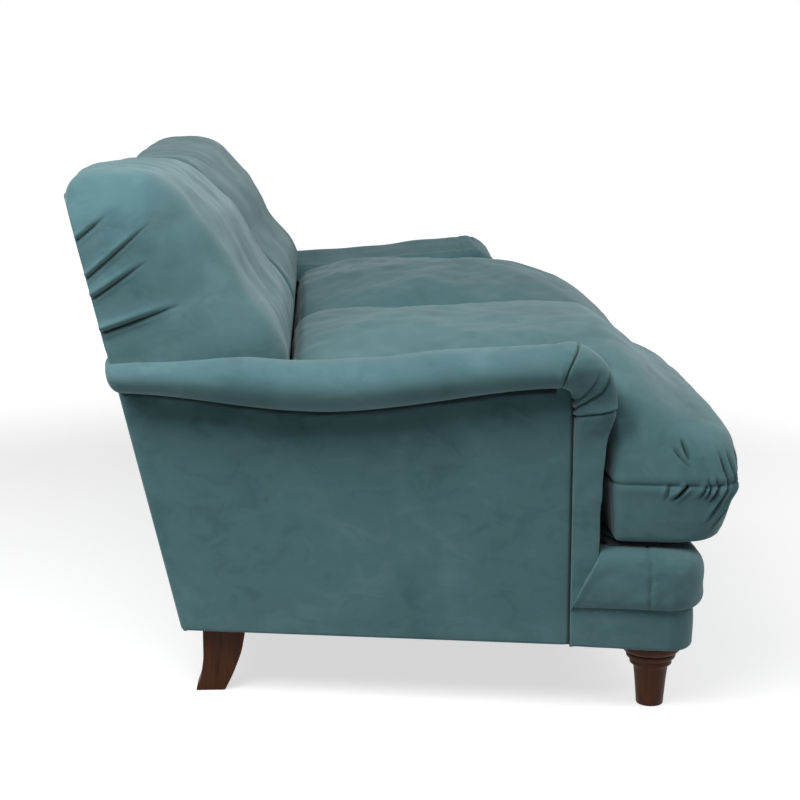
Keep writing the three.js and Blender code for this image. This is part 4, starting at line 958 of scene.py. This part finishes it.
def cushion_folds(grid, a, h, full, place_at, seed):
    """Height of the seams, gathers, dimples and creases of a cushion, and the painted shade in its gathers and
    along its seam.
    a is the place along the outline, and h the distance from the seam, positive on the crown."""
    near_side = np.arange(CORNER_STARTS[3], CORNER_STARTS[4] + 54)
    order = near_side[np.argsort(full[near_side, 1])]

    def along(y):
        return np.interp(y, full[order, 1], place_at[order])

    height = -2.6 * bell(h, 2.4) + 1.8 * bell(np.abs(h) - 10, 9)
    # a seam down the border behind the ear's corner
    height += -2.6 * bell(a - place_at[CORNER_STARTS[3] + 2], 2.2) * (h < 0) * smooth((h + 100) / 20)
    for (y0, h0), (y1, h1), depth in SIDE_GATHERS:
        ends = ((along(y0), h0), (along(y1), h1))
        height += fold(a, h, ends, GATHER_DEPTH * depth, GATHER_WIDTH, lap=0.2, both=h0 > 20)
    # painted shade in the gathers and along the seam
    painted_darkening = np.clip(-height / 9, 0, 0.6) + 0.3 * bell(h, 1.5)
    for (y0, h0), wide, tall, depth in EAR_DIMPLES:
        height -= depth * bell(a - along(y0), wide) * bell(h - h0, tall)
    # gathers along the front, and smaller ones all round
    chance = np.random.default_rng(seed)
    draw = chance.uniform
    front_start, front_end = place_at[CORNER_STARTS[4] + 30], place_at[CORNER_STARTS[5] + 80]
    for _ in range(58):
        at = draw(front_start, front_end)
        clump = 0.55 + 0.45 * math.sin(at / 61 + seed)
        up, lean = draw(20, 72) * (0.6 + 0.6 * clump), chance.normal(0, 9)
        depth, width, lap = draw(1.0, 3.0) * clump, draw(3.2, 5.4), draw(-0.5, 0.5)
        height += fold(a, h, ((at, 2), (at + lean, up)), depth, width, lap)
        down, shift = draw(18, 60), chance.normal(0, 5)
        depth, width, lap = draw(0.9, 2.8) * clump, draw(3.0, 5.0), draw(-0.5, 0.5)
        height += fold(a, h, ((at + shift, -2), (at - lean, -down)), depth, width, lap)
    for _ in range(46):
        at = draw(0, place_at[-1])
        lean, up = chance.normal(0, 12), draw(16, 50)
        depth, width, lap = draw(0.4, 1.3), draw(3.5, 6), draw(-0.4, 0.4)
        height += fold(a, h, ((at, 2), (at + lean, up)), depth, width, lap)
        shift, down = chance.normal(0, 6), draw(12, 40)
        height += fold(a, h, ((at + shift, -2), (at, -down)), draw(0.3, 1.1), draw(3.5, 6))
    # the swell of the nose and of the rear, soft waves, and long creases over the crown
    x, y = grid[..., 0], grid[..., 1]
    on_top = smooth((h - 20) / 80)
    height += 9 * bell(h - 80, 44) * smooth((-y - 790) / 70)
    height += 10 * smooth((h - 6) / 24) * (1 - smooth((h - 190) / 60)) * smooth((y + 215) / 20)
    soft = 3.2 * waves(grid, 230, seed + 1) + 1.4 * waves(grid, 95, seed + 2) + 0.45 * waves(grid, 42, seed + 3)
    calm = 1 - 0.6 * smooth((-y - 600) / 120)
    height += soft * calm * (0.25 + 0.75 * on_top) * smooth((h + 112) / 30)
    for _ in range(22):
        x0, y0 = draw(40, 860), draw(-900, -210)
        turn, size = draw(0, math.pi), draw(60, 190)
        ends = ((x0, y0), (x0 + size * math.cos(turn), y0 + size * math.sin(turn)))
        depth, width = draw(0.6, 1.8), draw(9, 17)
        height += on_top * fold(x, y, ends, depth, width, lap=0.25, both=True)
    return height, painted_darkening


def seat_cushion(side, seed):
    grid, h, full = cushion_rings(SETTLED[side])
    place_at = run_along(full)
    a = place_at * np.ones_like(h)
    normals = pointing(grid_normals(grid, wrap=True), (60, 20), 2, 1)
    normals[-1] = normals[-1].mean(0)
    height, painted_darkening = cushion_folds(grid, a, h, full, place_at, seed)
    grid = grid + normals * (height * smooth((h + 122) / 14))[..., None]
    grid[..., 2] = np.maximum(grid[..., 2], DECK + DECK_GAP - 0.1)
    # the border rises a little where it stands on the lip
    low_share = np.clip((SEAM - grid[..., 2]) / 106, 0, 1)
    grid[..., 2] += LIP_RISE * smooth((-grid[..., 1] - 688) / 30) * low_share**2
    word = SIDES[side]
    make(f"feather_cushion_{word}", *closed_tube(grid), [f"seat_cushion_{word}"], side, f"seat_cushion_{word}",
         fill=0.6, crease=painted_darkening)


for side in SIDES:
    seat_cushion(side, 91 + 4 * side)

# Front lip and the border below it

CORNER_Y, CORNER_ROUND = -791.0, 45.0
CORNER_X = side_x(0, CORNER_Y) - CORNER_ROUND
# Sections as (how far in from the nose, height), from the underside over the nose to the flange
LIP_SECTION = [(34, 186), (17, 184.2), (9, 186.5), (2.2, 197), (0, 214), (0, 236), (1.6, 255), (8, 270.5),
               (19, 279.3), (33, 281.6), (56, 281.0)]
BORDER_SECTION = [(9, 116), (2.4, 115.2), (0.2, 118.5), (0, 124), (0, 150), (0, 176), (0, 184), (3, 190),
                  (16, 193)]
LIP_REACH = 17.0  # how far the nose of the lip stands out from the base
LIP_END_POINTS, LIP_END_Y = 34, -728.0  # the stretch at each end that follows the foot of the arm front
FOOT_DEPTH = 49.0  # depth of that slant
LIP_BACK_Z, LIP_SEAM_Y = 200.0, -757.0
BORDER_BACK, BORDER_BACK_TOP, BORDER_BACK_LOW = -14.0, 188.0, 120.0


def front_path(offset):
    """The path in plan from one side panel round the front to the other, at an offset outwards."""
    radius = CORNER_ROUND + offset
    sides = np.array([(side_x(offset, y), y) for y in np.linspace(-SIDE, CORNER_Y, 56)])
    turn = np.linspace(0, QUARTER, 22)[1:]
    corner = np.stack([CORNER_X + radius * np.cos(turn), CORNER_Y - radius * np.sin(turn)], -1)
    straight = np.stack([np.linspace(CORNER_X, 0, 190)[1:], np.full(189, CORNER_Y - radius)], -1)
    half = np.concatenate([sides, corner, straight])
    return np.concatenate([half, half[::-1][1:] * [-1, 1]])


def band(section, reach):
    return np.array([line_of(front_path(reach - inset), z) for inset, z in section])


def lip_pad(seed):
    section = curve(LIP_SECTION, 64)
    grid = band(section, LIP_REACH)
    half = grid.shape[1] // 2
    for block in (grid[:, :LIP_END_POINTS], grid[:, -LIP_END_POINTS:]):
        up = np.clip((block[..., 2] - FOOT_LOW) / (FOOT_HIGH - FOOT_LOW), 0, 1)
        foot = -SIDE - FOOT_DEPTH * up - 1
        block[..., 1] = foot + (block[..., 1] + SIDE) * (LIP_END_Y - foot) / (LIP_END_Y + SIDE)
        block[..., 0] = np.sign(block[..., 0]) * side_x(LIP_REACH - section[:, :1], block[..., 1])
    normals = pointing(grid_normals(grid), (32, half), 1, -1)
    run = run_along(grid[32])
    total = run[-1]
    a = run * np.ones(grid.shape[:2])
    z = grid[..., 2]
    seam = np.interp(-LIP_SEAM_Y, -grid[32, :60, 1], run[:60])
    height = 1.1 * waves(grid * np.array([0.5, 0.5, 1]), 85, seed) + 0.5 * waves(grid, 36, seed + 1)
    for at in (seam, total - seam):
        height += -1.9 * bell(a - at, 1.7) + 0.9 * bell(np.abs(a - at) - 9, 7)
    # small creases at the seams, and gathers that rise from the underside
    chance = np.random.default_rng(seed)
    draw = chance.uniform
    for at in (seam, total - seam):
        for _ in range(5):
            lean, start = chance.normal(0, 10), chance.choice([-1, 1]) * 2
            ends = ((at + start, draw(200, 262)), (at + lean * 2.4, draw(196, 268)))
            height += fold(a, z, ends, draw(0.5, 1.1), 4)
    for _ in range(40):
        at, lean, up = draw(160, total - 160), chance.normal(0, 8), draw(14, 36)
        height += fold(a, z, ((at, 186), (at + lean, 186 + up)), draw(0.3, 1.0), draw(4, 7))
    height *= smooth((z - 184) / 5) * smooth(np.minimum(a, total - a) / 12)
    grid = grid + normals * height[..., None]
    backs = [line_of(row[:, :2], LIP_BACK_Z) for row in (grid[-1], grid[0])]
    replaced = ["front_lip", "lip_return_left", "lip_return_right"]
    make("seat_lip", *closed_band(np.concatenate([grid, backs])), replaced, fill=0.9)


def border_band(seed):
    grid = band(curve(BORDER_SECTION, 44), 0)
    normals = pointing(grid_normals(grid), (20, grid.shape[1] // 2), 1, -1)
    run = run_along(grid[20])
    a = run * np.ones(grid.shape[:2])
    height = 0.6 * waves(grid * np.array([0.6, 0.6, 1]), 120, seed) + 0.2 * waves(grid, 40, seed + 1)
    height += 1.4 * np.sin(np.pi * np.clip((grid[..., 2] - 116) / 72, 0, 1))
    height *= smooth(np.minimum(a, run[-1] - a) / 8)
    grid = grid + normals * height[..., None]
    backs = [line_of(front_path(BORDER_BACK), z) for z in (BORDER_BACK_TOP, BORDER_BACK_LOW)]
    make("base_border", *closed_band(np.concatenate([grid, backs])),
         ["front_border", "border_return_left", "border_return_right"], fill=0.9)


lip_pad(121)
border_band(131)

# Legs

# Turned leg as radius and height, each corner eased by two close points
TURNED_PROFILE = [
    (0.5, 6.0), (19.5, 6.0), (21.6, 6.8), (22.5, 9.0), (23.2, 20), (25.6, 48), (27.6, 66), (28.6, 73),
    (30.6, 75.2), (33.0, 75.8), (34.6, 77.4), (34.8, 80.5), (34.4, 84.6), (35.6, 86.4), (38.6, 87.0),
    (40.2, 88.4), (41.0, 91.6), (40.7, 94.4), (39.6, 95.4), (40.4, 96.4), (44.6, 98.4), (47.4, 101.4),
    (48.6, 105.4), (49.0, 110), (48.6, 114.6), (47.6, 117.4), (45.5, 118), (1, 118),
]
SWEEP, FOOT_LENGTH = 14.0, 50.0  # how far a sabre leg sweeps back to its foot, and how long the foot is
LEG_HALF, LEG_SOFT = 22.5, 2.2  # half its width and the rounding of its edges


def middle_of(node_name):
    """Place in plan of the middle of a right-hand leg."""
    low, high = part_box(node_name)
    return 500 * (low.x + high.x), 500 * (low.y + high.y) - Y_SHIFT


def turned_leg(side):
    x, y = middle_of("front_leg_right")
    turn = np.linspace(0, 2 * np.pi, 72, endpoint=False)
    circle = np.stack([np.cos(turn), np.sin(turn)], -1)
    grid = np.array([line_of(np.array([x, y]) + r * circle, z) for r, z in TURNED_PROFILE])
    word = SIDES[side]
    make(f"turned_foot_{word}", *closed_tube(grid), [f"front_leg_{word}"], side, sharp=38)


def eased(line, reach, mode, **how):
    """A line smoothed over a few points to both sides."""
    count = 2 * reach + 1
    return np.convolve(np.pad(line, reach, mode=mode, **how), np.ones(count) / count, "valid")


def sabre_leg(side):
    word = SIDES[side]
    low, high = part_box(f"rear_leg_{word}")
    middle_x = abs(low.x + high.x) * 500
    front_top, heel = low.y * 1000 - Y_SHIFT, high.y * 1000 - Y_SHIFT
    z = np.linspace(FLOOR, LEG, 60)
    t = (z - FLOOR) / (LEG - FLOOR)
    back = heel - SWEEP
    rear = eased(np.interp(t, [0, 0.2, 0.5, 1], [heel, heel - SWEEP * 0.65, back, back]), 4, "edge")
    toe = [heel - FOOT_LENGTH, back - FOOT_LENGTH, front_top + 8, front_top]
    front = eased(np.interp(t, [0, 0.25, 0.6, 1], toe), 6, "reflect", reflect_type="odd")
    angle = np.radians([start + 22.5 * step for start in (0, 90, 180, 270) for step in range(5)])
    x = middle_x + np.repeat([1, -1, -1, 1], 5) * (LEG_HALF - LEG_SOFT) + LEG_SOFT * np.cos(angle)
    rings = []
    for level, a, b in zip(z, front + LEG_SOFT, rear - LEG_SOFT):
        y = np.repeat([b, b, a, a], 5) + LEG_SOFT * np.sin(angle)
        rings.append(line_of(np.stack([x, y], -1), level))
    grid = np.array(rings)
    # the very foot draws in a little
    middle = grid.mean(1, keepdims=True)[..., :2]
    drawn = 1 - 0.03 * (1 - smooth((z - FLOOR) / 2.0))
    grid[..., :2] = middle + (grid[..., :2] - middle) * drawn[:, None, None]
    make(f"sabre_foot_{word}", *closed_tube(grid), [f"rear_leg_{word}"], side, sharp=40)


for side in SIDES:
    turned_leg(side)
    sabre_leg(side)

# Studio

FLOOR_REACH = 60.0  # metres
FLOOR_LIFT, LIFT_FROM, LIFT_TO = 0.66, 1.3, 2.8  # own light of the floor near the sofa, where it turns to 1
FLOOR_TONES = [(0.3, (0.495, 0.495, 0.495)), (0.7, (0.505, 0.505, 0.505))]
WORLD_LIGHT = 0.05
LENS, CAMERA_AT, CAMERA_YAW, CAMERA_PITCH = 75.77, (-3.518, 0.1483, 1.0146), -0.05, 0.187
# Lamps: watts, size, place and what they are turned to
SOFTBOXES = {
    "Front softbox": (62, 2.4, (-0.8, -3.2, 2.9), (0.0, 0.1, 0.3)),
    "Overhead softbox": (22, 2.4, (-2.2, 0.4, 3.0), (0.0, 0.1, 0.3)),
    "Near softbox": (25, 1.4, (-1.75, 0.65, 2.1), (-0.3, 0.2, 0.5)),
    "Rear softbox": (25, 1.4, (-1.5, 1.5, 2.1), (-0.3, 0.2, 0.5)),
}


def put(name, data, place_at, towards):
    """A lamp or camera at a place, turned along a direction."""
    made = bpy.data.objects.new(name, data)
    made.location = place_at
    made.rotation_mode = "QUATERNION"
    made.rotation_quaternion = towards.to_track_quat("-Z", "Y")
    bpy.context.scene.collection.objects.link(made)
    return made


def seen_directly(tree):
    """1 for rays from the camera, also where gloss or glass passes them on."""
    rays = node(tree, "ShaderNodeLightPath").outputs
    passed_on = maths(tree, "MAXIMUM", rays["Is Glossy Ray"], rays["Is Transmission Ray"])
    return maths(tree, "MAXIMUM", rays["Is Camera Ray"], passed_on)


def studio_floor():
    material, tree, shader, places = new_material("Studio floor")
    tone = ramp(tree, noise(tree, places, 3.0, 2.0), FLOOR_TONES)
    feed(tree, shader, {"Base Color": tone, "Roughness": 1.0, "Specular IOR Level": 0.0})
    away = node(tree, "ShaderNodeVectorMath", {0: places}, operation="LENGTH").outputs["Value"]
    lift = spread(tree, away, LIFT_FROM, LIFT_TO, FLOOR_LIFT, 1.0, interpolation_type="SMOOTHSTEP")
    glow = node(tree, "ShaderNodeEmission", {"Strength": maths(tree, "MULTIPLY", seen_directly(tree), lift)})
    lit = tree.nodes["Principled BSDF"].outputs["BSDF"]
    total = node(tree, "ShaderNodeAddShader", {0: lit, 1: glow.outputs["Emission"]})
    tree.links.new(total.outputs["Shader"], tree.nodes["Material Output"].inputs["Surface"])
    mesh = bpy.data.meshes.new("studio_floor")
    corners = [(x * FLOOR_REACH, y * FLOOR_REACH, 0) for x, y in ((-1, -1), (1, -1), (1, 1), (-1, 1))]
    mesh.from_pydata(corners, [], [(0, 1, 2, 3)])
    mesh.materials.append(material)
    floor = bpy.data.objects.new("studio_floor", mesh)
    bpy.context.scene.collection.objects.link(floor)


studio_floor()

world = bpy.data.worlds.new("Studio")
bpy.context.scene.world = world
world.use_nodes = True
tree = world.node_tree
seen = maths(tree, "MULTIPLY", seen_directly(tree), 1 - WORLD_LIGHT)
strength = maths(tree, "ADD", seen, WORLD_LIGHT)
feed(tree, tree.nodes["Background"].inputs, {"Color": (1, 1, 1, 1), "Strength": strength})

for name, (watts, size, lamp_at, aim) in SOFTBOXES.items():
    lamp = bpy.data.lights.new(name, "AREA")
    lamp.energy = watts
    lamp.shape = "SQUARE"
    lamp.size = size
    put(name, lamp, lamp_at, Vector(aim) - Vector(lamp_at))

lens = bpy.data.cameras.new("Camera")
lens.lens = LENS
lens.sensor_width = 36.0
lens.clip_start, lens.clip_end = 0.05, 200
level = math.cos(CAMERA_PITCH)
view = Vector((math.cos(CAMERA_YAW) * level, math.sin(CAMERA_YAW) * level, -math.sin(CAMERA_PITCH)))
bpy.context.scene.camera = put("Camera", lens, CAMERA_AT, view)
bpy.context.scene.view_settings.view_transform = "Standard"
